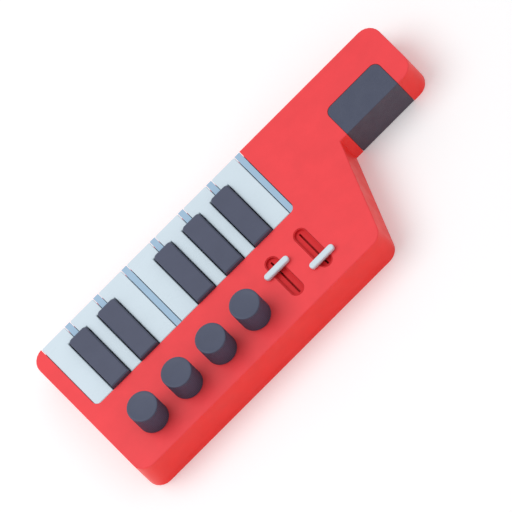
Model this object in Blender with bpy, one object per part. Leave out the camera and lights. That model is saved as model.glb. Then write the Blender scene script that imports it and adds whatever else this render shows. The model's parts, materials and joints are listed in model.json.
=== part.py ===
"""A one-octave toy keytar: a moulded body with a neck, twelve sprung keys on one steel rod, four
knobs, two sliders, and the boards, speaker and batteries behind them.

+X runs to the end of the neck, +Y to the front edge of the keys and +Z out of the playing face.
The origin lies on the rear face, under the middle of the body's outline.
"""

import math

import bmesh
import bpy
from mathutils import Matrix, Vector

MM = 0.001

# Fits
GAP = 0.3 * MM  # between pieces that seat in or on each other
SIDE_PLAY = 0.6 * MM  # beside a moving key
ROUND_END_TRIM = 0.03 * MM  # keeps a round end's radius just under half of the width

# Body
BODY_WIDTH = 185 * MM
BODY_THICKNESS = 48 * MM
NECK_LENGTH = 105.5 * MM
NECK_WIDTH = 74 * MM
SHOULDER_LENGTH = 78.5 * MM  # from the keys to the root of the neck
SHOULDER_SLANT = 38.5 * MM  # how far the lower end of the shoulder leans back
CORNER_RADIUS = 16 * MM
EDGE_CHAMFER = 0.8 * MM
WALL = 3 * MM
COVER_THICKNESS = 3 * MM
END_MARGIN = 16 * MM  # of the face beside the first key

# Keys
WHITE_NOTES = "EDCBAGF"  # from the closed end of the body to the neck
NOTES_WITHOUT_SHARP = "EB"
KEY_PITCH = 40 * MM
WHITE_KEY_WIDTH = 32 * MM
BLACK_KEY_WIDTH = 23.6 * MM
KEYBED_DEPTH = 92.2 * MM  # of the opening for the keys
BLACK_KEY_REACH = 73.3 * MM  # of a black key past the edge of the panel
BLACK_KEY_RISE = 6 * MM
BLACK_CORNER_RADIUS = 4 * MM
WHITE_CORNER_RADIUS = 1.5 * MM
KEY_SETBACK = 0.5 * MM  # of each key's back and nose from the panel and from the body's edge
NOTCH_PLAY = 1.2 * MM  # between a white key and the black key beside it
PANEL_CORNER_RADIUS = 7 * MM  # of the key opening's two corners at the panel
CORNER_LEDGE = 1.8 * MM  # thickness of the panel in those corners
CORNER_PLAY = 0.25 * MM  # between those corners and the pieces that fill them
NOSE_THICKNESS = 7 * MM
NOSE_OVERHANG = 3.3 * MM
KEY_HEIGHT = 14.5 * MM
KEY_ROOF = 3 * MM
KEY_WALL = 1.6 * MM
SKIRT_INSET = 0.4 * MM
KEY_CHAMFER = 0.7 * MM
PLUNGER_WIDTH = 5 * MM
PLUNGER_REACH = 43 * MM  # from the hinge to the plunger and its contact

# Key hinge
HINGE_SETBACK = 8.3 * MM  # of the rod behind the edge of the panel
HINGE_DEPTH = 9 * MM  # of the rod below the playing face
ROD_RADIUS = 1.5 * MM
BARREL_RADIUS = 4.8 * MM
ARM_WIDTH = 10 * MM
ARM_DEPTH_BELOW_FACE = 4.8 * MM

# Key bed
BED_DEPTH_BELOW_FACE = 23.5 * MM  # down to the top of its floor
BED_FLOOR = 2.5 * MM
RIB_SINK = 0.6 * MM  # of the ribs' tops below the keys' tops
POST_WIDTH = 4 * MM
BED_PILLAR_SHARES = (0.2, 0.8)  # of the bed's length, where the cover's pillars hold it up
POST_DEPTH = 10 * MM
STOP_DEPTH = 4 * MM
STOP_HEIGHT = 3.4 * MM
BRIDGE_HEIGHT = 12 * MM
LIP_DEPTH_BELOW_FACE = 13.5 * MM  # of the body's front wall in front of the keys

# Boards and contacts
BOARD_THICKNESS = 1.6 * MM
KEY_BOARD_DEPTH = 26 * MM
STRIP_DEPTH = 14 * MM
STRIP_THICKNESS = 1.3 * MM
PAD_RADIUS = 4 * MM
PAD_RISE = 2.3 * MM
BOARD_MARGIN = 15.8 * MM  # of the control board inside the panel's edges

# Knobs and their potentiometers
KNOB_COUNT = 4
KNOB_PITCH = 48 * MM
KNOB_FIRST = 48 * MM  # from the closed end of the body
KNOB_SETBACK = 37.3 * MM  # from the lower edge of the body
KNOB_RADIUS = 16.5 * MM
KNOB_HEIGHT = 33 * MM
KNOB_PLAY = 0.6 * MM
KNOB_SHELL = 2.6 * MM
KNOB_HUB_RADIUS = 6 * MM
KNOB_HUB_RAISE = 3.2 * MM
SHAFT_RADIUS = 3 * MM
SHAFT_RISE = 22 * MM
BUSHING_RADIUS = 4.5 * MM
BUSHING_RISE = 2.5 * MM
POT_RADIUS = 8.5 * MM
POT_HEIGHT = 8 * MM
POT_FLOOR = 2 * MM

# Sliders
SLIDER_COUNT = 2
SLIDER_PITCH = 40 * MM
SLIDER_FIRST = 240 * MM  # from the closed end of the body
SLOT_WIDTH = 16 * MM
SLOT_MARGIN = 18.3 * MM  # of each slot inside the panel's edges
SLIT_MARGIN = 4.3 * MM  # of the lever's slit inside the slot
SLIT_WIDTH = 2 * MM
WELL_RIM = 1 * MM
WELL_FLOOR = 1.5 * MM
WELL_FLANGE = 1.8 * MM
WELL_SINK = 0.3 * MM
LEVER_WIDTH = 1.4 * MM
LEVER_DEPTH = 5 * MM
SLIDER_BAR_LENGTH = 32 * MM
SLIDER_BAR_DEPTH = 7 * MM
SLIDER_BAR_THICKNESS = 4.8 * MM
SLIDER_BAR_PLAY = 1.2 * MM
SLIDER_PLACES = (0.75, 0.1)  # shares of the travel at rest, from the lower end of each slot
SLIDE_POT_WIDTH = 9 * MM

# Neck grip
GRIP_LENGTH = 71.5 * MM
GRIP_END_MARGIN = 24 * MM  # from the end of the neck
GRIP_DEPTH = 36.7 * MM  # of the face that it covers
GRIP_THICKNESS = 2.2 * MM
GRIP_CORNER_RADIUS = 8 * MM
GRIP_BACKING = 3.4 * MM

# Speaker
SPEAKER_RADIUS = 25 * MM
SPEAKER_HEIGHT = 13.2 * MM
SPEAKER_INSET = (24 * MM, 52 * MM)  # of its centre from the keys' end and from the lower edge
MAGNET_RADIUS = 13 * MM
MAGNET_HEIGHT = 6.2 * MM
THROAT_RADIUS = 15.5 * MM
SPEAKER_RIM = 2.5 * MM
SPEAKER_SHEET = 1.2 * MM
CONE_RISE = 0.6  # share of the speaker's height that the cone's back reaches
GRILLE_SLOTS = 7
GRILLE_PITCH = 5.6 * MM
GRILLE_SLOT_WIDTH = 2.4 * MM

# Batteries
CELL_COUNT = 3
CELL_RADIUS = 7.1 * MM
CELL_LENGTH = 49.2 * MM
CELL_NUB_RADIUS = 2.7 * MM
CELL_NUB_LENGTH = 1.3 * MM
CELL_PLAY = 0.7 * MM
CONTACT_THICKNESS = 0.8 * MM
CONTACT_SPRING = 2.2 * MM
BAY_WALL = 3 * MM
BAY_SCREW_END = 13 * MM
BAY_INSET = 8 * MM  # from the keys' end
DOOR_LEDGE = 1.8 * MM
DOOR_THICKNESS = 4.2 * MM

# Screws and posts
BOSS_RADIUS = 4 * MM
BOSS_INSET = 11 * MM
SCREW_SHANK_RADIUS = 1.3 * MM
SCREW_HEAD_RADIUS = 2.7 * MM
SCREW_HEAD_HEIGHT = 1.8 * MM
SCREW_CROWN_RADIUS = 2.2 * MM
SCREW_CROWN_HEIGHT = 0.7 * MM
RECESS_REACH = 1.6 * MM
RECESS_WIDTH = 0.8 * MM
RECESS_DEPTH = 0.9 * MM
SCREW_LENGTH = 16 * MM
SCREW_SINK = 1 * MM
PILLAR_HEIGHT = 4 * MM  # of the cover's own bosses above its inner face

# Strap buttons
BUTTON_RADIUS = 8 * MM
BUTTON_NECK_RADIUS = 4 * MM
BUTTON_REACH = 11 * MM
BUTTON_PLATE = 2 * MM
BUTTON_FOOT_RADIUS = 6.4 * MM
BUTTON_FACE_RADIUS = 6.8 * MM
BUTTON_SHANK = 8 * MM
BUTTON_SHANK_RADIUS = 2.4 * MM
BUTTON_HEIGHT = 14 * MM
BUTTON_INSET = (25 * MM, 15 * MM)  # from the closed end and from the end of the neck

# Roundness
ARC_STEPS = 6
SHARP_ANGLE = math.radians(35)
SMALL_ARC_STEPS = 2
SMALL_ARC_RADIUS = 2 * MM
TURNED_STEPS = 32
SMALL_STEPS = 12

# Places that follow from the sizes above
WHITE_COUNT = len(WHITE_NOTES)
KEYBED_LENGTH = WHITE_COUNT * KEY_PITCH
BODY_LENGTH = END_MARGIN + KEYBED_LENGTH + SHOULDER_LENGTH + NECK_LENGTH
CLOSED_END = -BODY_LENGTH / 2
NECK_END = BODY_LENGTH / 2
FRONT_EDGE = BODY_WIDTH / 2
LOWER_EDGE = -BODY_WIDTH / 2
NECK_ROOT = NECK_END - NECK_LENGTH
NECK_LOWER_EDGE = FRONT_EDGE - NECK_WIDTH
FACE = BODY_THICKNESS
PANEL_UNDERSIDE = FACE - WALL
KEYBED_START = CLOSED_END + END_MARGIN
KEYBED_END = KEYBED_START + KEYBED_LENGTH
OPENING_START = KEYBED_START - SIDE_PLAY
LEDGE_BOTTOM = FACE - CORNER_LEDGE
PANEL_EDGE = FRONT_EDGE - KEYBED_DEPTH
PANEL_MIDDLE = (PANEL_EDGE + LOWER_EDGE) / 2
HINGE_Y = PANEL_EDGE - HINGE_SETBACK
HINGE_Z = FACE - HINGE_DEPTH
KEY_BOTTOM = FACE - KEY_HEIGHT
BED_TOP = FACE - BED_DEPTH_BELOW_FACE
BED_START = KEYBED_START + GAP
BED_END = KEYBED_END - GAP
BED_BACK = HINGE_Y - POST_DEPTH / 2 - GAP
BED_FRONT = FRONT_EDGE - WALL - SIDE_PLAY
LIP_TOP = FACE - LIP_DEPTH_BELOW_FACE
KEY_GAP = KEY_PITCH - WHITE_KEY_WIDTH
RIB_WIDTH = KEY_GAP - 2 * SIDE_PLAY
NOSE = FRONT_EDGE - KEY_SETBACK
KEY_BACK = PANEL_EDGE + KEY_SETBACK
BLACK_NOSE = PANEL_EDGE + BLACK_KEY_REACH
NOTCH_FRONT = BLACK_NOSE + NOTCH_PLAY
CONTACT_Y = HINGE_Y + PLUNGER_REACH
POT_TOP = PANEL_UNDERSIDE - GAP
CONTROL_BOARD_TOP = POT_TOP - POT_HEIGHT - GAP
KNOB_Y = LOWER_EDGE + KNOB_SETBACK
SLOT_HALF = (PANEL_EDGE - LOWER_EDGE) / 2 - SLOT_MARGIN
SLIT_HALF = SLOT_HALF - SLIT_MARGIN
SLIDER_HALF_TRAVEL = SLIT_HALF - LEVER_DEPTH / 2 - GAP
WELL_BOTTOM = PANEL_UNDERSIDE - GAP - WELL_FLOOR
GRIP_END = NECK_END - GRIP_END_MARGIN
GRIP_START = GRIP_END - GRIP_LENGTH
GRIP_TOP_EDGE = NECK_LOWER_EDGE + GRIP_DEPTH
SPEAKER_X = KEYBED_END + SPEAKER_INSET[0]
SPEAKER_Y = LOWER_EDGE + SPEAKER_INSET[1]
SPEAKER_Z = COVER_THICKNESS + GAP
CELL_PITCH = 2 * CELL_RADIUS + CELL_PLAY
CELL_Z = DOOR_THICKNESS + 2 * GAP + CELL_RADIUS + CELL_PLAY
POCKET_DEPTH = CELL_COUNT * CELL_PITCH + CELL_PLAY
CELL_FULL_LENGTH = CELL_LENGTH + CELL_NUB_LENGTH
POCKET_LENGTH = CELL_FULL_LENGTH + 2 * CONTACT_THICKNESS + CONTACT_SPRING + 5 * GAP
POCKET_START = KEYBED_END + BAY_INSET + BAY_WALL
POCKET_END = POCKET_START + POCKET_LENGTH
BAY_Y = NECK_LOWER_EDGE + NECK_WIDTH / 2
BAY_END = POCKET_END + BAY_SCREW_END
POCKET_TOP = CELL_Z + CELL_RADIUS + CELL_PLAY
SCREW_HEAD_TOP = SCREW_SINK + SCREW_HEAD_HEIGHT
PILLAR_TOP = COVER_THICKNESS + PILLAR_HEIGHT
DOOR_SCREW_X = POCKET_END + BAY_SCREW_END / 2
SCREW_PLACES = (
    (CLOSED_END + BOSS_INSET, LOWER_EDGE + BOSS_INSET),
    (CLOSED_END + BOSS_INSET - GAP, FRONT_EDGE - BOSS_INSET),
    (KEYBED_START + KEYBED_LENGTH / 2, LOWER_EDGE + BOSS_INSET),
    (NECK_ROOT - SHOULDER_SLANT - BOSS_INSET, LOWER_EDGE + BOSS_INSET),
    (BAY_END + BOSS_INSET, FRONT_EDGE - BOSS_INSET),
    (NECK_END - BOSS_INSET, NECK_LOWER_EDGE + NECK_WIDTH / 2),
)


# Shapes


def clear_scene():
    for old in list(bpy.data.objects):
        bpy.data.objects.remove(old)


def linear(channel):
    """One sRGB channel, 0 to 255, as the linear value that a shader takes."""
    share = channel / 255
    return share / 12.92 if share <= 0.04045 else ((share + 0.055) / 1.055) ** 2.4


def plastic(name, red, green, blue, roughness=0.4, metallic=0.0):
    finish = bpy.data.materials.new(name)
    finish.use_nodes = True
    shader = finish.node_tree.nodes["Principled BSDF"]
    shader.inputs["Base Color"].default_value = (linear(red), linear(green), linear(blue), 1)
    shader.inputs["Roughness"].default_value = roughness
    shader.inputs["Metallic"].default_value = metallic
    finish.diffuse_color = (linear(red), linear(green), linear(blue), 1)
    return finish


def make_object(name, shape):
    """An object from a bmesh, which is freed."""
    bmesh.ops.recalc_face_normals(shape, faces=shape.faces)
    mesh = bpy.data.meshes.new(name)
    shape.to_mesh(mesh)
    shape.free()
    made = bpy.data.objects.new(name, mesh)
    bpy.context.scene.collection.objects.link(made)
    return made


def rounded(corners):
    """An outline, counter-clockwise, from (x, y, radius) corners."""
    outline = []
    for i, (x, y, radius) in enumerate(corners):
        corner = Vector((x, y))
        if radius == 0:
            outline.append(corner)
            continue
        before = (Vector(corners[i - 1][:2]) - corner).normalized()
        after = (Vector(corners[(i + 1) % len(corners)][:2]) - corner).normalized()
        half = before.angle(after) / 2
        centre = corner + (before + after).normalized() * radius / math.sin(half)
        start = corner + before * radius / math.tan(half) - centre
        end = corner + after * radius / math.tan(half) - centre
        turn = start.angle_signed(end)
        steps = ARC_STEPS if radius > SMALL_ARC_RADIUS else SMALL_ARC_STEPS
        for step in range(steps + 1):
            outline.append(centre + Matrix.Rotation(-turn * step / steps, 2) @ start)
    return outline


def inset(outline, distance):
    """The outline moved inwards by a distance, or outwards by a negative one."""
    moved = []
    for i, point in enumerate(outline):
        along = (point - outline[i - 1]).normalized()
        onward = (outline[(i + 1) % len(outline)] - point).normalized()
        first = Vector((-along.y, along.x))
        second = Vector((-onward.y, onward.x))
        moved.append(point + (first + second) * distance / (1 + first.dot(second)))
    return moved


def rectangle(x0, x1, y0, y1, radius=0.0):
    return rounded([(x0, y0, radius), (x1, y0, radius), (x1, y1, radius), (x0, y1, radius)])


def prism(name, outline, low, high, chamfer=0.0, along="Z"):
    """The outline extruded along an axis. Along X the outline lies in Y and Z."""
    rings = [(low, outline)]
    if chamfer:
        rings += [(high - chamfer, outline), (high, inset(outline, chamfer))]
    else:
        rings += [(high, outline)]
    shape = bmesh.new()
    levels = []
    for level, ring in rings:
        if along == "Z":
            levels.append([shape.verts.new((p[0], p[1], level)) for p in ring])
        else:
            levels.append([shape.verts.new((level, p[0], p[1])) for p in ring])
    shape.faces.new(list(reversed(levels[0])))
    shape.faces.new(levels[-1])
    for lower, upper in zip(levels, levels[1:]):
        for i in range(len(outline)):
            shape.faces.new((lower[i - 1], lower[i], upper[i], upper[i - 1]))
    return make_object(name, shape)


def block(name, x, y, z):
    """A box from three (low, high) pairs."""
    return prism(name, rectangle(*x, *y), *z)


def turned(name, profile, steps=TURNED_STEPS):
    """A closed (radius, height) profile turned about the Z axis."""
    shape = bmesh.new()
    rings = []
    for radius, height in profile:
        count = steps if radius > 0 else 1
        ring = []
        for i in range(count):
            angle = 2 * math.pi * i / steps
            place = (radius * math.cos(angle), radius * math.sin(angle), height)
            ring.append(shape.verts.new(place))
        rings.append(ring)
    for ring, following in zip(rings, rings[1:] + rings[:1]):
        for i in range(steps):
            corners = (ring[i - 1 if len(ring) > 1 else 0], ring[i if len(ring) > 1 else 0],
                       following[i if len(following) > 1 else 0],
                       following[i - 1 if len(following) > 1 else 0])
            distinct = list(dict.fromkeys(corners))
            if len(distinct) > 2:
                shape.faces.new(distinct)
    return make_object(name, shape)


def rod(name, radius, low, high, steps=TURNED_STEPS):
    return turned(name, [(0, low), (radius, low), (radius, high), (0, high)], steps)


def placed(made, at, turn=None):
    """Moves and turns an object's mesh, so that the object itself stays at the origin."""
    move = Matrix.Translation(Vector(at))
    if turn:
        angle, axis = turn
        move = move @ Matrix.Rotation(math.radians(angle), 4, axis)
    made.data.transform(move)
    return made


def combined(base, tools, operation):
    """Joins tools to a base, or cuts them from it, and removes them."""
    for tool in tools:
        modifier = base.modifiers.new(tool.name, "BOOLEAN")
        modifier.operation = operation
        modifier.solver = "EXACT"
        modifier.object = tool
    graph = bpy.context.evaluated_depsgraph_get()
    mesh = bpy.data.meshes.new_from_object(base.evaluated_get(graph))
    base.modifiers.clear()
    base.data = mesh
    for tool in tools:
        bpy.data.objects.remove(tool)
    return base


def joined(base, *tools):
    return combined(base, tools, "UNION")


def cut(base, *tools):
    return combined(base, tools, "DIFFERENCE")


def finished(made, finish, origin=(0, 0, 0)):
    """Gives an object its material, its origin and smooth round faces."""
    made.data.transform(Matrix.Translation(-Vector(origin)))
    made.location = origin
    made.data.materials.clear()
    made.data.materials.append(finish)
    made.data.shade_smooth()
    made.data.set_sharp_from_angle(angle=SHARP_ANGLE)
    return made


def carried(made, holder):
    """Parents a piece to the one that it moves with, leaving it where it is."""
    made.parent = holder
    made.location = made.location - holder.location
    return made


# Places along the body


def white_start(i):
    return KEYBED_START + i * KEY_PITCH


def gap_middle(i):
    """The middle of the gap after white key i."""
    return white_start(i) + WHITE_KEY_WIDTH + KEY_GAP / 2


def has_sharp(i):
    """Whether a black key stands between white keys i and i + 1."""
    return 0 <= i < WHITE_COUNT - 1 and WHITE_NOTES[i + 1] not in NOTES_WITHOUT_SHARP


def tail_sides(i):
    """The two sides of a white key's tail, beside the black keys."""
    notch = BLACK_KEY_WIDTH / 2 + NOTCH_PLAY
    low = gap_middle(i - 1) + notch if has_sharp(i - 1) else white_start(i)
    high = gap_middle(i) - notch if has_sharp(i) else white_start(i) + WHITE_KEY_WIDTH
    return low, high


def key_middles():
    """Where each key's arm and plunger stand, white and black."""
    middles = [sum(tail_sides(i)) / 2 for i in range(WHITE_COUNT)]
    return middles + [gap_middle(i) for i in range(WHITE_COUNT) if has_sharp(i)]


def knob_x(i):
    return CLOSED_END + KNOB_FIRST + i * KNOB_PITCH


def slider_x(i):
    return CLOSED_END + SLIDER_FIRST + i * SLIDER_PITCH


def slider_y(i):
    return PANEL_MIDDLE + (2 * SLIDER_PLACES[i] - 1) * SLIDER_HALF_TRAVEL


def body_outline():
    return rounded([
        (CLOSED_END, LOWER_EDGE, CORNER_RADIUS),
        (NECK_ROOT - SHOULDER_SLANT, LOWER_EDGE, CORNER_RADIUS),
        (NECK_ROOT, NECK_LOWER_EDGE, 0),
        (NECK_END, NECK_LOWER_EDGE, CORNER_RADIUS),
        (NECK_END, FRONT_EDGE, CORNER_RADIUS),
        (CLOSED_END, FRONT_EDGE, CORNER_RADIUS),
    ])


def slot_outline(x, grow=0.0):
    half = SLOT_WIDTH / 2 + grow
    reach = SLOT_HALF + grow
    return rectangle(x - half, x + half, PANEL_MIDDLE - reach, PANEL_MIDDLE + reach, half - ROUND_END_TRIM)


# Casing


def grip_solid(name, clearance=0.0):
    """The L of the grip, over the face and down the wall, or the recess that takes it."""
    radius = GRIP_CORNER_RADIUS + clearance
    depth = GRIP_THICKNESS + clearance
    overrun = WALL if clearance else 0.0
    outline = rounded([
        (GRIP_START - clearance, NECK_LOWER_EDGE - overrun, 0),
        (GRIP_END + clearance, NECK_LOWER_EDGE - overrun, 0),
        (GRIP_END + clearance, GRIP_TOP_EDGE + clearance, radius),
        (GRIP_START - clearance, GRIP_TOP_EDGE + clearance, radius),
    ])
    core = block(
        name + "_core",
        (GRIP_START - WALL, GRIP_END + WALL),
        (NECK_LOWER_EDGE + depth, GRIP_TOP_EDGE + WALL),
        (-2 * WALL, FACE - depth),
    )
    return cut(prism(name, outline, -overrun, FACE + overrun), core)


def grip_backing(name, grow=0.0):
    """The thicker wall behind the grip."""
    wall = block(
        name,
        (GRIP_START - GRIP_BACKING - grow, GRIP_END + GRIP_BACKING + grow),
        (NECK_LOWER_EDGE + WALL / 2 - grow, NECK_LOWER_EDGE + WALL + GRIP_BACKING + grow),
        (-grow if grow else 0.0, FACE - WALL / 2),
    )
    roof = block(
        name + "_roof",
        (GRIP_START - GRIP_BACKING, GRIP_END + GRIP_BACKING),
        (NECK_LOWER_EDGE + WALL / 3, GRIP_TOP_EDGE + GRIP_BACKING),
        (FACE - WALL - GRIP_BACKING, FACE - WALL / 3),
    )
    return joined(wall, roof)


def opening_outline(grow=0.0, radius=PANEL_CORNER_RADIUS):
    """The opening for the keys, rounded at the panel and open past the body's front edge."""
    return rounded([
        (OPENING_START - grow, PANEL_EDGE - grow, radius),
        (KEYBED_END + grow, PANEL_EDGE - grow, radius),
        (KEYBED_END + grow, FRONT_EDGE + WALL - grow, 0),
        (OPENING_START - grow, FRONT_EDGE + WALL - grow, 0),
    ])


def corner_relief(name):
    """What the opening's rounded corners take off a piece that fills one."""
    around = prism(name, opening_outline(WALL, 0), LEDGE_BOTTOM - GAP, FACE + WALL)
    inside = opening_outline(-CORNER_PLAY, PANEL_CORNER_RADIUS - CORNER_PLAY)
    return cut(around, prism(name + "_inside", inside, LEDGE_BOTTOM - WALL, FACE + 2 * WALL))


def shell_additions():
    """What stands inside the front shell: screw bosses, the keybed's end walls, the grip's backing."""
    added = [
        placed(rod(f"boss_{i}", BOSS_RADIUS, PILLAR_TOP + GAP, FACE - WALL / 2, SMALL_STEPS), (x, y, 0))
        for i, (x, y) in enumerate(SCREW_PLACES)
    ]
    for i, x in enumerate((OPENING_START - GAP - WALL, KEYBED_END + GAP)):
        added.append(block(
            f"cheek_{i}",
            (x, x + WALL),
            (PANEL_EDGE - WALL, FRONT_EDGE - WALL / 2),
            (BED_TOP - BED_FLOOR, FACE - WALL / 2),
        ))
    added.append(grip_backing("backing"))
    return added


def shell_cuts():
    """The openings in the front shell."""
    cuts = [
        prism("key_opening", opening_outline(), LEDGE_BOTTOM - GAP, FACE + WALL),
        prism("key_clearance", opening_outline(GAP / 2, 0), LIP_TOP, LEDGE_BOTTOM),
    ]
    for i in range(KNOB_COUNT):
        hole = rod(f"knob_hole_{i}", BUSHING_RADIUS + GAP, PANEL_UNDERSIDE - WALL, FACE + WALL, SMALL_STEPS)
        cuts.append(placed(hole, (knob_x(i), KNOB_Y, 0)))
    for i in range(SLIDER_COUNT):
        cuts.append(prism(f"slot_{i}", slot_outline(slider_x(i)), PANEL_UNDERSIDE - WALL / 2, FACE + WALL))
    for i, (x, y) in enumerate(SCREW_PLACES):
        top = SCREW_HEAD_TOP + SCREW_LENGTH + WALL
        pilot = rod(f"pilot_{i}", SCREW_SHANK_RADIUS + GAP, -WALL, top, SMALL_STEPS)
        cuts.append(placed(pilot, (x, y, 0)))
    for i, x in enumerate(button_places()):
        hole = rod(f"button_hole_{i}", BUTTON_SHANK_RADIUS + GAP, -2 * WALL, WALL, SMALL_STEPS)
        cuts.append(placed(hole, (x, FRONT_EDGE, BUTTON_HEIGHT), (-90, "X")))
    cuts.append(grip_solid("grip_recess", GAP))
    return cuts


def build_front_shell(finish):
    outline = body_outline()
    shell = prism("front_shell", outline, 0, FACE, EDGE_CHAMFER)
    shell = cut(shell, prism("cavity", inset(outline, WALL), -WALL, PANEL_UNDERSIDE))
    shell = joined(shell, *shell_additions())
    return finished(cut(shell, *shell_cuts()), finish)


def bay_block():
    """The battery bay's walls and roof, with the solid end that takes the door's screw."""
    half = POCKET_DEPTH / 2 + BAY_WALL
    return block(
        "bay",
        (POCKET_START - BAY_WALL, BAY_END),
        (BAY_Y - half, BAY_Y + half),
        (COVER_THICKNESS / 2, POCKET_TOP + BAY_WALL / 2),
    )


def door_outline(grow=0.0):
    reach = DOOR_LEDGE + grow
    return rectangle(
        POCKET_START - reach,
        BAY_END - BAY_WALL + DOOR_LEDGE + grow,
        BAY_Y - POCKET_DEPTH / 2 - reach,
        BAY_Y + POCKET_DEPTH / 2 + reach,
        DOOR_LEDGE,
    )


def cover_cuts():
    """The openings in the rear cover: grille, battery bay, door and screws."""
    pocket = rectangle(
        POCKET_START, POCKET_END, BAY_Y - POCKET_DEPTH / 2, BAY_Y + POCKET_DEPTH / 2
    )
    cuts = [
        prism("door_recess", door_outline(GAP), -WALL, DOOR_THICKNESS + GAP),
        prism("pocket", pocket, 0, POCKET_TOP),
    ]
    for i in range(GRILLE_SLOTS):
        offset = (i - (GRILLE_SLOTS - 1) / 2) * GRILLE_PITCH
        half = math.sqrt((SPEAKER_RADIUS - GRILLE_PITCH) ** 2 - offset**2)
        middle = SPEAKER_X + offset
        slot = rectangle(
            middle - GRILLE_SLOT_WIDTH / 2,
            middle + GRILLE_SLOT_WIDTH / 2,
            SPEAKER_Y - half,
            SPEAKER_Y + half,
            GRILLE_SLOT_WIDTH / 2 - ROUND_END_TRIM,
        )
        cuts.append(prism(f"grille_{i}", slot, -WALL, COVER_THICKNESS + WALL))
    for i, (x, y) in enumerate(SCREW_PLACES):
        cuts.append(screw_bore(f"screw_bore_{i}", PILLAR_TOP + WALL, (x, y, 0)))
    pilot = rod(
        "door_pilot",
        SCREW_SHANK_RADIUS + GAP,
        0,
        POCKET_TOP - BAY_WALL / 2,
        SMALL_STEPS,
    )
    cuts.append(placed(pilot, (DOOR_SCREW_X, BAY_Y, 0)))
    cuts.append(grip_backing("backing_clearance", GAP))
    return cuts


def screw_bore(name, top, at):
    """A counterbored hole that takes a screw's head from the rear face."""
    head = SCREW_HEAD_RADIUS + GAP
    shank = SCREW_SHANK_RADIUS + GAP
    seat = SCREW_HEAD_TOP + GAP
    profile = [(0, -WALL), (head, -WALL), (head, seat), (shank, seat), (shank, top), (0, top)]
    return placed(turned(name, profile, SMALL_STEPS), at)


def build_rear_cover(finish):
    outline = inset(body_outline(), WALL + GAP)
    cover = prism("rear_cover", outline, 0, COVER_THICKNESS)
    pillars = [
        placed(rod(f"pillar_{i}", BOSS_RADIUS, COVER_THICKNESS / 2, PILLAR_TOP, SMALL_STEPS), (x, y, 0))
        for i, (x, y) in enumerate(SCREW_PLACES)
    ]
    for i, share in enumerate(BED_PILLAR_SHARES):
        x = KEYBED_START + share * KEYBED_LENGTH
        for j, y in enumerate((HINGE_Y + BOSS_RADIUS, BED_FRONT - 2 * BOSS_RADIUS)):
            top = BED_TOP - BED_FLOOR - GAP
            support = rod(f"support_{i}_{j}", BOSS_RADIUS, COVER_THICKNESS / 2, top, SMALL_STEPS)
            pillars.append(placed(support, (x, y, 0)))
    cover = joined(cover, bay_block(), *pillars)
    return finished(cut(cover, *cover_cuts()), finish)


def build_neck_grip(finish):
    return finished(grip_solid("neck_grip"), finish)


def build_screw(name, at, finish):
    """A pan-head screw with a cross recess, its head towards the rear."""
    head, shank = SCREW_HEAD_RADIUS, SCREW_SHANK_RADIUS
    top = SCREW_HEAD_TOP + SCREW_LENGTH
    profile = [
        (0, SCREW_SINK),
        (SCREW_CROWN_RADIUS, SCREW_SINK),
        (head, SCREW_SINK + SCREW_CROWN_HEIGHT),
        (head, SCREW_HEAD_TOP),
        (shank, SCREW_HEAD_TOP),
        (shank, top - shank),
        (0, top),
    ]
    screw = turned(name, profile, SMALL_STEPS)
    arm, half = RECESS_REACH, RECESS_WIDTH / 2
    depth = SCREW_SINK + RECESS_DEPTH
    slots = [
        block(name + "_slot_a", (-arm, arm), (-half, half), (-WALL, depth)),
        block(name + "_slot_b", (-half, half), (-arm, arm), (-WALL, depth)),
    ]
    return finished(placed(cut(screw, *slots), at), finish)


def button_places():
    return CLOSED_END + BUTTON_INSET[0], NECK_END - BUTTON_INSET[1]


def build_strap_buttons(finish):
    """Strap buttons on the upper edge of the body, each with its shank through the wall."""
    profile = [
        (0, -BUTTON_SHANK),
        (BUTTON_SHANK_RADIUS, -BUTTON_SHANK),
        (BUTTON_SHANK_RADIUS, GAP),
        (BUTTON_FOOT_RADIUS, GAP),
        (BUTTON_FOOT_RADIUS, BUTTON_PLATE),
        (BUTTON_NECK_RADIUS, BUTTON_PLATE * 2),
        (BUTTON_NECK_RADIUS, BUTTON_REACH - BUTTON_PLATE * 2),
        (BUTTON_RADIUS, BUTTON_REACH - BUTTON_PLATE),
        (BUTTON_RADIUS, BUTTON_REACH - BUTTON_PLATE / 2),
        (BUTTON_FACE_RADIUS, BUTTON_REACH),
        (0, BUTTON_REACH),
    ]
    for i, x in enumerate(button_places()):
        button = turned(f"strap_button_{i + 1}", profile, SMALL_STEPS)
        finished(placed(button, (x, FRONT_EDGE, BUTTON_HEIGHT), (-90, "X")), finish)


# Keys


def key_shape(name, slab, skirt, pocket, middle, top):
    """A hollow key: a chamfered slab on a skirt, with an arm to the rod and a plunger inside."""
    arm = block(
        name + "_arm",
        (middle - ARM_WIDTH / 2, middle + ARM_WIDTH / 2),
        (HINGE_Y, KEY_BACK + 2 * WALL),
        (KEY_BOTTOM + GAP, FACE - ARM_DEPTH_BELOW_FACE),
    )
    barrel = rod(name + "_barrel", BARREL_RADIUS, -ARM_WIDTH / 2 + GAP, ARM_WIDTH / 2 - GAP, SMALL_STEPS)
    placed(barrel, (middle, HINGE_Y, HINGE_Z), (90, "Y"))
    half = PLUNGER_WIDTH / 2
    plunger = block(
        name + "_plunger",
        (middle - half, middle + half),
        (CONTACT_Y - half, CONTACT_Y + half),
        (KEY_BOTTOM - GAP, top - KEY_ROOF / 2),
    )
    bore = rod(name + "_bore", ROD_RADIUS + GAP, -ARM_WIDTH, ARM_WIDTH, SMALL_STEPS)
    placed(bore, (middle, HINGE_Y, HINGE_Z), (90, "Y"))
    key = cut(joined(slab, skirt), pocket)
    key = joined(key, arm, barrel, plunger)
    return cut(key, bore)


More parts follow.
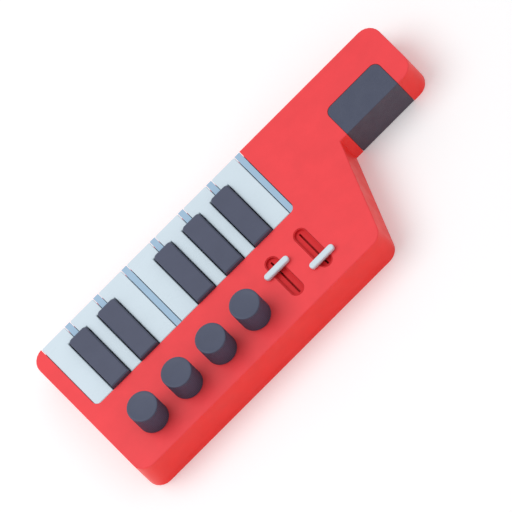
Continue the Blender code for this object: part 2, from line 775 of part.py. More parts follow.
def white_plan(i, back, nose, narrow, radius=0.0, notch=0.0):
    """A white key's plan: a tail beside the black keys and a full-width head."""
    low, high = tail_sides(i)
    start, end = white_start(i), white_start(i) + WHITE_KEY_WIDTH
    corners = [(low + narrow, back, 0), (high - narrow, back, 0)]
    front = NOTCH_FRONT + notch
    if high < end:
        corners += [(high - narrow, front, 0), (end - narrow, front, 0)]
    corners += [(end - narrow, nose, radius), (start + narrow, nose, radius)]
    if low > start:
        corners += [(start + narrow, front, 0), (low + narrow, front, 0)]
    return rounded(corners)


def build_white_key(i, finish):
    name = f"white_key_{WHITE_NOTES[i].lower()}"
    inner = SKIRT_INSET + KEY_WALL
    skirt_nose = NOSE - NOSE_OVERHANG
    slab = prism(
        name,
        white_plan(i, KEY_BACK, NOSE, 0.0, WHITE_CORNER_RADIUS),
        FACE - NOSE_THICKNESS,
        FACE,
        KEY_CHAMFER,
    )
    skirt = prism(
        name + "_skirt",
        white_plan(i, KEY_BACK + SKIRT_INSET, skirt_nose, SKIRT_INSET, 0.0, SKIRT_INSET),
        KEY_BOTTOM,
        FACE - KEY_ROOF / 2,
    )
    pocket = prism(
        name + "_pocket",
        white_plan(i, KEY_BACK + 2 * WALL - GAP, skirt_nose - KEY_WALL, inner, 0.0, inner),
        KEY_BOTTOM - WALL,
        FACE - KEY_ROOF,
    )
    middle = sum(tail_sides(i)) / 2
    key = key_shape(name, slab, skirt, pocket, middle, FACE)
    if i == 0:
        key = cut(key, corner_relief(name + "_relief"))
    return finished(key, finish, (middle, HINGE_Y, HINGE_Z))


def build_black_key(i, finish):
    name = f"black_key_{WHITE_NOTES[i + 1].lower()}_sharp"
    middle = gap_middle(i)
    half = BLACK_KEY_WIDTH / 2

    def plan(back, nose, narrow, radius):
        return rounded([
            (middle - half + narrow, back, 0),
            (middle + half - narrow, back, 0),
            (middle + half - narrow, nose, radius),
            (middle - half + narrow, nose, radius),
        ])

    inner = SKIRT_INSET + KEY_WALL
    slab = prism(
        name,
        plan(KEY_BACK, BLACK_NOSE, 0.0, BLACK_CORNER_RADIUS),
        FACE - NOSE_THICKNESS,
        FACE + BLACK_KEY_RISE,
        2 * KEY_CHAMFER,
    )
    skirt = prism(
        name + "_skirt",
        plan(KEY_BACK + SKIRT_INSET, BLACK_NOSE - SKIRT_INSET, SKIRT_INSET, BLACK_CORNER_RADIUS),
        KEY_BOTTOM,
        FACE - KEY_ROOF / 2,
    )
    pocket = prism(
        name + "_pocket",
        plan(KEY_BACK + 2 * WALL - GAP, BLACK_NOSE - inner, inner, BLACK_CORNER_RADIUS - inner),
        KEY_BOTTOM - WALL,
        FACE + BLACK_KEY_RISE - KEY_ROOF,
    )
    key = key_shape(name, slab, skirt, pocket, middle, FACE + BLACK_KEY_RISE)
    return finished(key, finish, (middle, HINGE_Y, HINGE_Z))


def build_keys(pale, dark):
    for i in range(WHITE_COUNT):
        build_white_key(i, pale)
        if has_sharp(i):
            build_black_key(i, dark)


def build_hinge_rod(finish):
    bar = rod("key_hinge_rod", ROD_RADIUS, BED_START, BED_END, SMALL_STEPS)
    return finished(placed(bar, (0, HINGE_Y, HINGE_Z), (90, "Y")), finish)


def rib(name, middle, back, width=RIB_WIDTH):
    """A divider between two white keys, standing on the bed with a nose over the body's front wall."""
    top = FACE - RIB_SINK
    outline = [
        (back, BED_TOP - BED_FLOOR / 2),
        (BED_FRONT, BED_TOP - BED_FLOOR / 2),
        (BED_FRONT, LIP_TOP + GAP),
        (NOSE, LIP_TOP + GAP),
        (NOSE, top),
        (back, top),
    ]
    low = max(middle - width / 2, BED_START)
    high = min(middle + width / 2, BED_END)
    return prism(name, [Vector(p) for p in outline], low, high, along="X")


def bridge(name, middle):
    """The rest of a divider where no black key stands, open below for the board."""
    low = max(middle - RIB_WIDTH / 2 + GAP / 2, BED_START)
    high = min(middle + RIB_WIDTH / 2 - GAP / 2, BED_END - GAP / 2)
    top = FACE - RIB_SINK
    return block(name, (low, high), (KEY_BACK, NOTCH_FRONT + WALL), (top - BRIDGE_HEIGHT, top))


def bearing(name, middle):
    """A post at the back of the bed that carries the rod."""
    half = POST_WIDTH / 2
    return block(
        name,
        (middle - half, middle + half),
        (HINGE_Y - POST_DEPTH / 2, HINGE_Y + POST_DEPTH / 2),
        (BED_TOP - BED_FLOOR / 2, PANEL_UNDERSIDE - 3 * GAP),
    )


def build_key_bed(finish):
    """The tray under the keys, with the dividers between them and the posts of the rod."""
    bed = block("key_bed", (BED_START, BED_END), (BED_BACK, BED_FRONT), (BED_TOP - BED_FLOOR, BED_TOP))
    stop = block(
        "key_stop",
        (BED_START + GAP, BED_END - GAP),
        (BED_FRONT - GAP - STOP_DEPTH, BED_FRONT - GAP),
        (BED_TOP - BED_FLOOR / 2, BED_TOP + STOP_HEIGHT),
    )
    pieces = [stop]
    posts = [BED_START + POST_WIDTH / 2 + GAP]
    for i in range(WHITE_COUNT):
        middle = gap_middle(i)
        pieces.append(rib(f"rib_{i}", middle, NOTCH_FRONT + KEY_SETBACK))
        if not has_sharp(i):
            pieces.append(bridge(f"bridge_{i}", middle))
            posts.append(middle)
    pieces += [bearing(f"bearing_{i}", x) for i, x in enumerate(posts)]
    bed = joined(bed, *pieces)
    bore = rod("rod_bore", ROD_RADIUS + GAP, KEYBED_START - WALL, KEYBED_END + WALL, SMALL_STEPS)
    bed = cut(bed, placed(bore, (0, HINGE_Y, HINGE_Z), (90, "Y")), corner_relief("bed_relief"))
    return finished(bed, finish)


def build_key_board(finish):
    low = BED_TOP + GAP
    half = KEY_BOARD_DEPTH / 2
    board = block(
        "key_circuit_board",
        (BED_START + WALL, KEYBED_END - KEY_GAP - WALL),
        (CONTACT_Y - half, CONTACT_Y + half),
        (low, low + BOARD_THICKNESS),
    )
    return finished(board, finish)


def build_contact_strip(finish):
    """The rubber strip whose raised pads close the keys' contacts."""
    low = BED_TOP + 2 * GAP + BOARD_THICKNESS
    high = low + STRIP_THICKNESS
    half = STRIP_DEPTH / 2
    strip = block(
        "contact_strip",
        (BED_START + 2 * WALL, KEYBED_END - KEY_GAP - 2 * WALL),
        (CONTACT_Y - half, CONTACT_Y + half),
        (low, high),
    )
    pads = [
        placed(rod(f"pad_{i}", PAD_RADIUS, low + GAP, high + PAD_RISE, SMALL_STEPS), (x, CONTACT_Y, 0))
        for i, x in enumerate(key_middles())
    ]
    return finished(joined(strip, *pads), finish)


# Controls


def build_control_board(finish):
    half = (PANEL_EDGE - LOWER_EDGE) / 2 - BOARD_MARGIN
    reach = KNOB_RADIUS + WALL
    board = block(
        "control_circuit_board",
        (knob_x(0) - reach, slider_x(SLIDER_COUNT - 1) + reach - 2 * WALL),
        (PANEL_MIDDLE - half, PANEL_MIDDLE + half),
        (CONTROL_BOARD_TOP - BOARD_THICKNESS, CONTROL_BOARD_TOP),
    )
    return finished(board, finish)


def knob_profile():
    """A plain cylinder with a hollow skirt and a hub that takes the shaft."""
    low, high = FACE + KNOB_PLAY, FACE + KNOB_PLAY + KNOB_HEIGHT
    roof = high - KNOB_SHELL
    inner = KNOB_RADIUS - KNOB_SHELL
    hub_low = FACE + KNOB_HUB_RAISE
    bore_top = FACE + SHAFT_RISE + GAP
    return [
        (0, bore_top),
        (SHAFT_RADIUS + GAP, bore_top),
        (SHAFT_RADIUS + GAP, hub_low),
        (KNOB_HUB_RADIUS, hub_low),
        (KNOB_HUB_RADIUS, roof),
        (inner, roof),
        (inner, low),
        (KNOB_RADIUS, low),
        (KNOB_RADIUS, high - EDGE_CHAMFER),
        (KNOB_RADIUS - EDGE_CHAMFER, high),
        (0, high),
    ]


def pot_profile():
    """A potentiometer's can and bushing, bored for its shaft."""
    low = POT_TOP - POT_HEIGHT
    floor = low + POT_FLOOR
    bore = SHAFT_RADIUS + GAP
    top = FACE + BUSHING_RISE
    return [
        (0, low),
        (POT_RADIUS, low),
        (POT_RADIUS, POT_TOP),
        (BUSHING_RADIUS, POT_TOP),
        (BUSHING_RADIUS, top),
        (bore, top),
        (bore, floor),
        (0, floor),
    ]


def build_knobs(knob_finish, steel, can_finish):
    shaft_low = POT_TOP - POT_HEIGHT + POT_FLOOR + GAP
    for i in range(KNOB_COUNT):
        at = (knob_x(i), KNOB_Y, 0)
        axis = (knob_x(i), KNOB_Y, FACE)
        knob = turned(f"knob_{i + 1}", knob_profile())
        finished(placed(knob, at), knob_finish, axis)
        shaft = rod(f"potentiometer_shaft_{i + 1}", SHAFT_RADIUS, shaft_low, FACE + SHAFT_RISE, SMALL_STEPS)
        carried(finished(placed(shaft, at), steel, axis), knob)
        can = turned(f"potentiometer_body_{i + 1}", pot_profile(), SMALL_STEPS)
        finished(placed(can, at), can_finish)


def slit(name, x, low, high):
    return block(
        name,
        (x - SLIT_WIDTH / 2, x + SLIT_WIDTH / 2),
        (PANEL_MIDDLE - SLIT_HALF, PANEL_MIDDLE + SLIT_HALF),
        (low, high),
    )


def build_slider_well(i, finish):
    """The dark lining of a slot: a flange under the panel and a cup with a slit in its floor."""
    x = slider_x(i)
    name = f"slider_well_{i + 1}"
    flange = prism(name, slot_outline(x, WELL_FLANGE), WELL_BOTTOM, WELL_BOTTOM + WELL_FLOOR)
    cup = prism(name + "_cup", slot_outline(x, -GAP), WELL_BOTTOM + GAP, FACE - WELL_SINK)
    recess = prism(
        name + "_recess", slot_outline(x, -GAP - WELL_RIM), WELL_BOTTOM + WELL_FLOOR, FACE + WALL
    )
    opening = slit(name + "_slit", x, WELL_BOTTOM - WALL, FACE)
    return finished(cut(joined(flange, cup), recess, opening), finish)


def build_slide_potentiometer(i, finish):
    x = slider_x(i)
    low, high = CONTROL_BOARD_TOP + GAP, WELL_BOTTOM - GAP
    reach = SLOT_HALF + WELL_FLANGE
    can = block(
        f"slide_potentiometer_{i + 1}",
        (x - SLIDE_POT_WIDTH / 2, x + SLIDE_POT_WIDTH / 2),
        (PANEL_MIDDLE - reach, PANEL_MIDDLE + reach),
        (low, high),
    )
    return finished(cut(can, slit("track", x, low + POT_FLOOR, high + WALL)), finish)


def build_slider(i, cap_finish, steel):
    """The bar that a finger moves, with the lever that runs down into the potentiometer."""
    x, y = slider_x(i), slider_y(i)
    low = FACE + SLIDER_BAR_PLAY
    socket_top = low + SLIDER_BAR_THICKNESS / 2
    outline = rectangle(
        x - SLIDER_BAR_LENGTH / 2,
        x + SLIDER_BAR_LENGTH / 2,
        y - SLIDER_BAR_DEPTH / 2,
        y + SLIDER_BAR_DEPTH / 2,
        SLIDER_BAR_DEPTH / 2 - ROUND_END_TRIM,
    )
    cap = prism(f"slider_cap_{i + 1}", outline, low, low + SLIDER_BAR_THICKNESS, EDGE_CHAMFER)
    half_width, half_depth = LEVER_WIDTH / 2, LEVER_DEPTH / 2
    socket = block(
        "socket",
        (x - half_width - GAP, x + half_width + GAP),
        (y - half_depth - GAP, y + half_depth + GAP),
        (low - WALL, socket_top + GAP),
    )
    finished(cut(cap, socket), cap_finish, (x, y, FACE))
    lever = block(
        f"slider_lever_{i + 1}",
        (x - half_width, x + half_width),
        (y - half_depth, y + half_depth),
        (CONTROL_BOARD_TOP + POT_FLOOR + 2 * GAP, socket_top),
    )
    carried(finished(lever, steel, (x, y, FACE)), cap)


def build_sliders(well_finish, cap_finish, steel, can_finish):
    for i in range(SLIDER_COUNT):
        build_slider_well(i, well_finish)
        build_slide_potentiometer(i, can_finish)
        build_slider(i, cap_finish, steel)


# Speaker and batteries


def build_speaker(steel, paper, magnet_finish):
    """A small speaker that faces the rear: a steel basket, a paper cone and a magnet."""
    outer, height = SPEAKER_RADIUS, SPEAKER_HEIGHT
    throat, rim, sheet = THROAT_RADIUS, SPEAKER_RIM, SPEAKER_SHEET
    low, cone_back = SPEAKER_Z, SPEAKER_Z + CONE_RISE * height
    basket = [
        (outer - rim, low),
        (outer, low),
        (outer, low + 2 * sheet),
        (throat, low + height - 2 * sheet),
        (throat, low + height),
        (throat / 2, low + height),
        (throat / 2, low + height - sheet),
        (throat - sheet, low + height - sheet),
        (throat - sheet, low + height - 2 * sheet),
        (outer - rim, low + 2 * sheet),
    ]
    cone_edge, coil = outer - rim - 2 * GAP, throat / 2 - 2 * GAP
    cone = [
        (0, cone_back - sheet),
        (coil, cone_back),
        (cone_edge, low + GAP),
        (cone_edge, low + sheet),
        (coil + sheet, cone_back + sheet),
        (coil, cone_back + 2 * sheet),
        (0, cone_back + sheet / 2),
    ]
    magnet_low = low + height + GAP
    at = (SPEAKER_X, SPEAKER_Y, 0)
    finished(placed(turned("speaker_frame", basket), at), steel)
    finished(placed(turned("speaker_cone", cone, SMALL_STEPS), at), paper)
    magnet = rod("speaker_magnet", MAGNET_RADIUS, magnet_low, magnet_low + MAGNET_HEIGHT, SMALL_STEPS)
    finished(placed(magnet, at), magnet_finish)


def build_cells(finish):
    """The cells lie along the body, every second one turned round."""
    profile = [
        (0, 0),
        (CELL_RADIUS, 0),
        (CELL_RADIUS, CELL_LENGTH),
        (CELL_NUB_RADIUS, CELL_LENGTH),
        (CELL_NUB_RADIUS, CELL_FULL_LENGTH),
        (0, CELL_FULL_LENGTH),
    ]
    start = POCKET_START + 2 * GAP + CONTACT_THICKNESS + CONTACT_SPRING
    for i in range(CELL_COUNT):
        y = BAY_Y + (i - (CELL_COUNT - 1) / 2) * CELL_PITCH
        turned_round = i % 2 == 1
        x = start + CELL_FULL_LENGTH if turned_round else start
        cell = turned(f"battery_cell_{i + 1}", profile, SMALL_STEPS)
        finished(placed(cell, (x, y, CELL_Z), (-90 if turned_round else 90, "Y")), finish)


def build_contacts(finish):
    """A plate with stub springs at one end of the cells, and a plain plate at the other."""
    depth = POCKET_DEPTH / 2 - GAP
    heights = (CELL_Z - CELL_RADIUS + CELL_PLAY, CELL_Z + CELL_RADIUS - CELL_PLAY)
    x = POCKET_START + GAP
    springs = block(
        "battery_spring_contact", (x, x + CONTACT_THICKNESS), (BAY_Y - depth, BAY_Y + depth), heights
    )
    stub = [
        (0, CONTACT_THICKNESS / 2),
        (CELL_NUB_RADIUS, CONTACT_THICKNESS / 2),
        (CELL_NUB_RADIUS / 2, CONTACT_THICKNESS + CONTACT_SPRING),
        (0, CONTACT_THICKNESS + CONTACT_SPRING),
    ]
    stubs = [
        placed(
            turned(f"stub_{i}", stub, SMALL_STEPS),
            (x, BAY_Y + (i - (CELL_COUNT - 1) / 2) * CELL_PITCH, CELL_Z),
            (90, "Y"),
        )
        for i in range(CELL_COUNT)
    ]
    finished(joined(springs, *stubs), finish)
    end = POCKET_END - GAP
    plate = block(
        "battery_flat_contact", (end - CONTACT_THICKNESS, end), (BAY_Y - depth, BAY_Y + depth), heights
    )
    finished(plate, finish)


def build_battery_door(finish):
    door = prism("battery_door", door_outline(), 0, DOOR_THICKNESS)
    bore = screw_bore("door_bore", DOOR_THICKNESS + WALL, (DOOR_SCREW_X, BAY_Y, 0))
    return finished(cut(door, bore), finish)


def build_keytar():
    red = plastic("red_plastic", 240, 80, 85, 0.35)
    dark_red = plastic("dark_red_plastic", 196, 45, 50, 0.5)
    pale = plastic("pale_blue_plastic", 215, 230, 240, 0.3)
    light_blue = plastic("light_blue_plastic", 165, 195, 220, 0.4)
    slate = plastic("slate_plastic", 85, 90, 110, 0.4)
    slate_rubber = plastic("slate_rubber", 85, 90, 110, 0.7)
    steel = plastic("steel", 190, 192, 196, 0.3, 1.0)
    green = plastic("circuit_board", 40, 110, 70, 0.5)
    rubber = plastic("contact_rubber", 60, 62, 66, 0.8)
    paper = plastic("speaker_paper", 50, 48, 46, 0.9)
    wrapper = plastic("cell_wrapper", 60, 70, 90, 0.4)
    build_front_shell(red)
    build_rear_cover(red)
    build_neck_grip(slate_rubber)
    build_key_bed(light_blue)
    build_hinge_rod(steel)
    build_keys(pale, slate)
    build_key_board(green)
    build_contact_strip(rubber)
    build_control_board(green)
    build_knobs(slate, steel, steel)
    build_sliders(dark_red, pale, steel, steel)
    build_speaker(steel, paper, steel)
    build_cells(wrapper)
    build_contacts(steel)
    build_battery_door(red)
    for i, (x, y) in enumerate(SCREW_PLACES):
        build_screw(f"case_screw_{i + 1}", (x, y, 0), steel)
    build_screw("battery_door_screw", (DOOR_SCREW_X, BAY_Y, 0), steel)
    build_strap_buttons(steel)


clear_scene()
build_keytar()
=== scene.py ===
"""Dresses the toy keytar: mouldings, keys, knobs, sliders, grip and fasteners, on a pale floor.

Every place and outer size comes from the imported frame. Classes stand for the sub-assemblies, and the
finishes are small frozen dataclasses that build procedural materials.
"""

from __future__ import annotations

import json
import logging
import math
from dataclasses import dataclass, field
from enum import Enum
from typing import Iterable, Sequence

import bmesh
import bpy
from mathutils import Matrix, Vector

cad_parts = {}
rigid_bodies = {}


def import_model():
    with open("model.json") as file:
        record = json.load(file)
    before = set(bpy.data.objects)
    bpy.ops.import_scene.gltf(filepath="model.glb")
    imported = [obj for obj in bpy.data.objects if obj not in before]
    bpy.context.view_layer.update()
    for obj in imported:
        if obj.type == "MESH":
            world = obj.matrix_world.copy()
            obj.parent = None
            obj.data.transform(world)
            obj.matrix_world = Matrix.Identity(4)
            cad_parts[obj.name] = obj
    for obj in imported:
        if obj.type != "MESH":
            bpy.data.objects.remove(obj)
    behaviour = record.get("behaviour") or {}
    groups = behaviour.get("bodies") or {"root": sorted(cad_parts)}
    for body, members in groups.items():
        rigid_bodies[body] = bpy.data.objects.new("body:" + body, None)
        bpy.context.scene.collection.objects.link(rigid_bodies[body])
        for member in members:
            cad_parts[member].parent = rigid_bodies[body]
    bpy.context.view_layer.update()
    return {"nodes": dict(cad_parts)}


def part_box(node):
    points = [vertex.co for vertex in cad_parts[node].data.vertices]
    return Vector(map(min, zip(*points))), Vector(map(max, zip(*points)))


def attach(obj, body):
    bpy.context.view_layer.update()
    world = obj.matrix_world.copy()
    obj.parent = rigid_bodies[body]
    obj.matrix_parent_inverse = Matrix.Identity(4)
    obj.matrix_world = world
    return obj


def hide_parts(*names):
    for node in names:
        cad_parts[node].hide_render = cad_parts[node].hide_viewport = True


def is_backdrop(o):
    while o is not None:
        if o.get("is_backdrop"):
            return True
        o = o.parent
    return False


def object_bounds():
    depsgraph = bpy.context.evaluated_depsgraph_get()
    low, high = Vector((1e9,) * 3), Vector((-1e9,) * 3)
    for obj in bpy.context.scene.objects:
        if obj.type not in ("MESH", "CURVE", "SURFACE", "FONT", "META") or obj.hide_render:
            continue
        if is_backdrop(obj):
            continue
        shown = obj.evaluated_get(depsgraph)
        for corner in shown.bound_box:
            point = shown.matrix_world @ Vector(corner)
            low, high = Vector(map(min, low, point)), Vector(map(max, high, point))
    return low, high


for startup_object in list(bpy.data.objects):
    bpy.data.objects.remove(startup_object)

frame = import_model()
LOG = logging.getLogger("keytar")

MM = 0.001
MERGE = 1e-6
CASING = "casing"
Point = tuple[float, float]
Triple = tuple[float, float, float]
Socket = bpy.types.NodeSocket
Material = bpy.types.Material


class Slot(Enum):
    """The record's material slots, by name."""

    SHELL = "shell_red"
    COVER = "cover_red"
    WELL = "well_dark_red"
    WHITE_KEY = "key_pale"
    BED = "bed_blue"
    BLACK_KEY = "key_slate"
    KNOB = "knob_slate"
    GRIP = "grip_rubber"
    STEEL = "steel"
    BOARD = "board"
    CONTACT = "contact_rubber"
    PAPER = "speaker_paper"
    CELL = "cell_wrap"


# Finishes


@dataclass(frozen=True)
class Colour:
    """A colour in sRGB shares of 255."""

    red: int
    green: int
    blue: int

    def linear(self, gain: float = 1.0) -> tuple[float, float, float, float]:
        """The colour as a shader takes it.

        Args:
            gain: a factor on its brightness.

        Returns:
            Linear red, green, blue and full alpha.
        """
        shares = [((c / 255 + 0.055) / 1.055) ** 2.4 for c in (self.red, self.green, self.blue)]
        return (*[min(1.0, share * gain) for share in shares], 1.0)


class NodeSheet:
    """A material's node tree, with short calls to add and join nodes."""

    def __init__(self, name: str) -> None:
        """Starts a material with its Principled shader.

        Args:
            name: the material's name.
        """
        self.material = bpy.data.materials.new(name)
        self.material.use_nodes = True
        self.tree = self.material.node_tree
        self.shader = self.tree.nodes["Principled BSDF"]
        self.coordinates = self.tree.nodes.new("ShaderNodeTexCoord").outputs["Object"]

    def add(self, kind: str, **inputs: object) -> bpy.types.Node:
        """Adds a node and sets or links its inputs.

        Args:
            kind: the node's type name.
            inputs: values or output sockets, by input name with _ for a space.

        Returns:
            The node.
        """
        node = self.tree.nodes.new(kind)
        for name, value in inputs.items():
            self.feed(node.inputs[name.replace("_", " ")], value)
        return node

    def feed(self, socket: Socket, value: object) -> None:
        """Links an output socket to an input, or sets the input's value.

        Args:
            socket: the input.
            value: an output socket, or a plain value.
        """
        if isinstance(value, Socket):
            self.tree.links.new(value, socket)
        else:
            socket.default_value = value

    def noise(self, scale: float, detail: float = 3.0, stretch: Triple = (1, 1, 1)) -> Socket:
        """A noise field over the piece.

        Args:
            scale: features per metre.
            detail: octaves.
            stretch: factors along X, Y and Z.

        Returns:
            The noise value's socket.
        """
        mapping = self.add("ShaderNodeMapping", Vector=self.coordinates, Scale=stretch)
        node = self.add("ShaderNodeTexNoise", Vector=mapping.outputs[0], Scale=scale, Detail=detail)
        return node.outputs[0]

    def cells(self, scale: float) -> Socket:
        """The distance to the nearest of many scattered points."""
        return self.add("ShaderNodeTexVoronoi", Vector=self.coordinates, Scale=scale).outputs["Distance"]

    def ranged(self, value: Socket, low: float, high: float, source: Point = (0.3, 0.7)) -> Socket:
        """Maps a value's usual range onto another one.

        Args:
            value: the socket to map.
            low: the result at the low end.
            high: the result at the high end.
            source: the value's own range.

        Returns:
            The mapped socket.
        """
        node = self.add("ShaderNodeMapRange", Value=value)
        settings = {"From Min": source[0], "From Max": source[1], "To Min": low, "To Max": high}
        for name, number in settings.items():
            node.inputs[name].default_value = number
        return node.outputs[0]

    def mixed(self, share: Socket, first: object, second: object) -> Socket:
        """Mixes two colours by a share.

        Args:
            share: the socket that gives the second colour's share.
            first: a colour or a socket.
            second: a colour or a socket.

        Returns:
            The mixed colour's socket.
        """
        node = self.tree.nodes.new("ShaderNodeMix")
        node.data_type = "RGBA"
        self.feed(node.inputs["Factor"], share)
        first_input, second_input = [socket for socket in node.inputs if socket.type == "RGBA"]
        self.feed(first_input, first)
        self.feed(second_input, second)
        return next(socket for socket in node.outputs if socket.type == "RGBA")

    def multiplied(self, first: Socket, second: Socket) -> Socket:
        """The product of two values.

        Args:
            first: one value's socket.
            second: the other's.

        Returns:
            The product's socket.
        """
        node = self.tree.nodes.new("ShaderNodeMath")
        node.operation = "MULTIPLY"
        self.feed(node.inputs[0], first)
        self.feed(node.inputs[1], second)
        return node.outputs[0]

    def bumped(self, height: Socket, depth: float, under: Socket | None = None) -> Socket:
        """A bump from a height field.

        Args:
            height: the height's socket, 0 to 1.
            depth: the height of 1, in metres.
            under: another bump to lay it on.

        Returns:
            The bent normal's socket.
        """
        node = self.add("ShaderNodeBump", Height=height, Distance=depth, Strength=1.0)
        if under is not None:
            self.feed(node.inputs["Normal"], under)
        return node.outputs[0]

    def painted_side_shade(self, top: object, shaded_sides: object, turn: Point = (0.35, 0.75)) -> Socket:
        """One colour on faces that look up, and a darker one on upright faces: a painted shade, as if less
        light fell on the sides.

        Args:
            top: the colour of the faces that look up.
            shaded_sides: the darker colour of the upright faces, a painted shade.
            turn: how far up a face looks where the colour starts and ends its change.

        Returns:
            The colour's socket.
        """
        normal = self.tree.nodes["Texture Coordinate"].outputs["Normal"]
        split = self.add("ShaderNodeSeparateXYZ", Vector=normal)
        return self.mixed(self.ranged(split.outputs["Z"], 0, 1, turn), shaded_sides, top)

    def edges(self, radius: float, turn: Point = (0.75, 0.99)) -> Socket:
        """Where the surface turns a corner, from 0 on a flat to 1 on an edge.

        Args:
            radius: how far from an edge it still counts as one.
            turn: the cosines of the turns that count as a full edge and as a flat.

        Returns:
            The share's socket.
        """
        soft = self.add("ShaderNodeBevel", Radius=radius)
        soft.samples = 4
        flat = self.tree.nodes.new("ShaderNodeNewGeometry").outputs["Normal"]
        dot = self.tree.nodes.new("ShaderNodeVectorMath")
        dot.operation = "DOT_PRODUCT"
        self.feed(dot.inputs[0], soft.outputs[0])
        self.feed(dot.inputs[1], flat)
        return self.ranged(dot.outputs["Value"], 1.0, 0.0, turn)


@dataclass(frozen=True)
class MouldedPlastic:
    """Injection-moulded plastic: a fine spark-eroded grain, slight mottle, rubbed edges and, where it has a
    side colour, a painted shade on its upright faces.

    The patterns' sizes are given as features per metre.
    """

    name: str
    colour: Colour
    roughness: float = 0.38
    mottle: float = 0.035
    mottle_per_metre: float = 45.0
    specks_per_metre: float = 900.0
    speck_share: float = 0.35
    grain_per_metre: float = 2200.0
    grain_depth: float = 0.00003
    sinks_per_metre: float = 22.0
    sink_depth: float = 0.00025
    wear: float = 0.12
    wear_per_metre: float = 130.0
    worn_width: float = 0.8 * MM
    worn_gain: float = 1.35
    smears_per_metre: float = 28.0
    smear_stretch: Triple = (1.0, 2.5, 1.0)
    smear_range: Point = (-0.06, 0.08)
    gloss: float = 0.25
    # A darker colour for the upright faces: a painted shade, not a second plastic.
    shaded_sides: Colour | None = None

    def plain(self, sheet: NodeSheet, gain: float) -> object:
        """The plastic's own colour at a brightness, with a darker painted shade on its upright faces if it
        has a colour for them.

        Args:
            sheet: the material's nodes.
            gain: a factor on the brightness.

        Returns:
            A colour, or the socket of one.
        """
        if self.shaded_sides is None:
            return self.colour.linear(gain)
        return sheet.painted_side_shade(self.colour.linear(gain), self.shaded_sides.linear(gain))

    def tint(self, sheet: NodeSheet) -> Socket:
        """The colour: mottle, then specks, then edges rubbed pale.

        Args:
            sheet: the material's nodes.

        Returns:
            The colour's socket.
        """
        light, dark = self.plain(sheet, 1 + self.mottle), self.plain(sheet, 1 - self.mottle)
        base = sheet.mixed(sheet.ranged(sheet.noise(self.mottle_per_metre, 4), 0, 1), dark, light)
        specks = sheet.ranged(sheet.noise(self.specks_per_metre, 2), 0, self.speck_share, (0.55, 0.75))
        base = sheet.mixed(specks, base, self.plain(sheet, 1 - 2 * self.mottle))
        rubbed = sheet.edges(self.worn_width)
        patches = sheet.ranged(sheet.noise(self.wear_per_metre, 4), 0, 2 * self.wear)
        return sheet.mixed(sheet.multiplied(rubbed, patches), base, self.plain(sheet, self.worn_gain))

    def build(self) -> Material:
        """Makes the material.

        Returns:
            The material.
        """
        sheet = NodeSheet(self.name)
        sheet.feed(sheet.shader.inputs["Base Color"], self.tint(sheet))
        smears = sheet.noise(self.smears_per_metre, 5, self.smear_stretch)
        low, high = [self.roughness + step for step in self.smear_range]
        sheet.feed(sheet.shader.inputs["Roughness"], sheet.ranged(smears, low, high))
        sink = sheet.bumped(sheet.noise(self.sinks_per_metre, 1), self.sink_depth)
        grain = sheet.bumped(sheet.noise(self.grain_per_metre, 3), self.grain_depth, sink)
        sheet.feed(sheet.shader.inputs["Normal"], grain)
        sheet.shader.inputs["Specular IOR Level"].default_value = self.gloss
        return sheet.material


@dataclass(frozen=True)
class Rubber:
    """Matt rubber with a pebbled skin, dust in its hollows and a painted shade on its upright faces."""

    name: str
    colour: Colour
    # A darker colour for the upright faces: a painted shade.
    shaded_sides: Colour
    pebbles_per_metre: float = 900.0
    pebble_depth: float = 0.00012
    dust_gains: Point = (0.92, 1.12)
    patches_per_metre: float = 60.0
    roughness: Point = (0.62, 0.8)
    rubs_per_metre: float = 90.0
    fine_per_metre: float = 4000.0
    fine_depth: float = 0.00002
    sheen: float = 0.15
    gloss: float = 0.3

    def build(self) -> Material:
        """Makes the material.

        Returns:
            The material.
        """
        sheet = NodeSheet(self.name)
        pebble = sheet.cells(self.pebbles_per_metre)
        dust = sheet.ranged(pebble, 0.0, 0.5, (0.2, 0.8))
        # Both dust tones carry the painted shade on the upright faces.
        low, high = [
            sheet.painted_side_shade(self.colour.linear(gain), self.shaded_sides.linear(gain)) for gain in self.dust_gains]
        base = sheet.mixed(dust, low, high)
        patches = sheet.ranged(sheet.noise(self.patches_per_metre, 4), 0, 0.5)
        sheet.feed(sheet.shader.inputs["Base Color"], sheet.mixed(patches, base, low))
        rubs = sheet.ranged(sheet.noise(self.rubs_per_metre, 3), *self.roughness)
        sheet.feed(sheet.shader.inputs["Roughness"], rubs)
        raised = sheet.ranged(pebble, 1.0, 0.0, (0.1, 0.7))
        fine = sheet.bumped(sheet.noise(self.fine_per_metre, 2), self.fine_depth)
        sheet.feed(sheet.shader.inputs["Normal"], sheet.bumped(raised, self.pebble_depth, fine))
        sheet.shader.inputs["Sheen Weight"].default_value = self.sheen
        sheet.shader.inputs["Specular IOR Level"].default_value = self.gloss
        return sheet.material


@dataclass(frozen=True)
class PlatedSteel:
    """Plated steel with fine drawn lines and faint tarnish."""

    name: str
    colour: Colour = Colour(205, 207, 210)
    lines_per_metre: float = 500.0
    stretch: Triple = (1.0, 1.0, 12.0)
    line_depth: float = 0.00002
    tarnish_per_metre: float = 160.0
    tarnish_gain: float = 0.6
    roughness: Point = (0.2, 0.4)

    def build(self) -> Material:
        """Makes the material.

        Returns:
            The material.
        """
        sheet = NodeSheet(self.name)
        lines = sheet.noise(self.lines_per_metre, 3, self.stretch)
        tarnish = sheet.ranged(sheet.noise(self.tarnish_per_metre, 5), 0, 0.6, (0.5, 0.75))
        base = sheet.mixed(tarnish, self.colour.linear(), self.colour.linear(self.tarnish_gain))
        sheet.feed(sheet.shader.inputs["Base Color"], base)
        sheet.feed(sheet.shader.inputs["Roughness"], sheet.ranged(lines, *self.roughness))
        sheet.feed(sheet.shader.inputs["Normal"], sheet.bumped(lines, self.line_depth))
        sheet.shader.inputs["Metallic"].default_value = 1.0
        return sheet.material


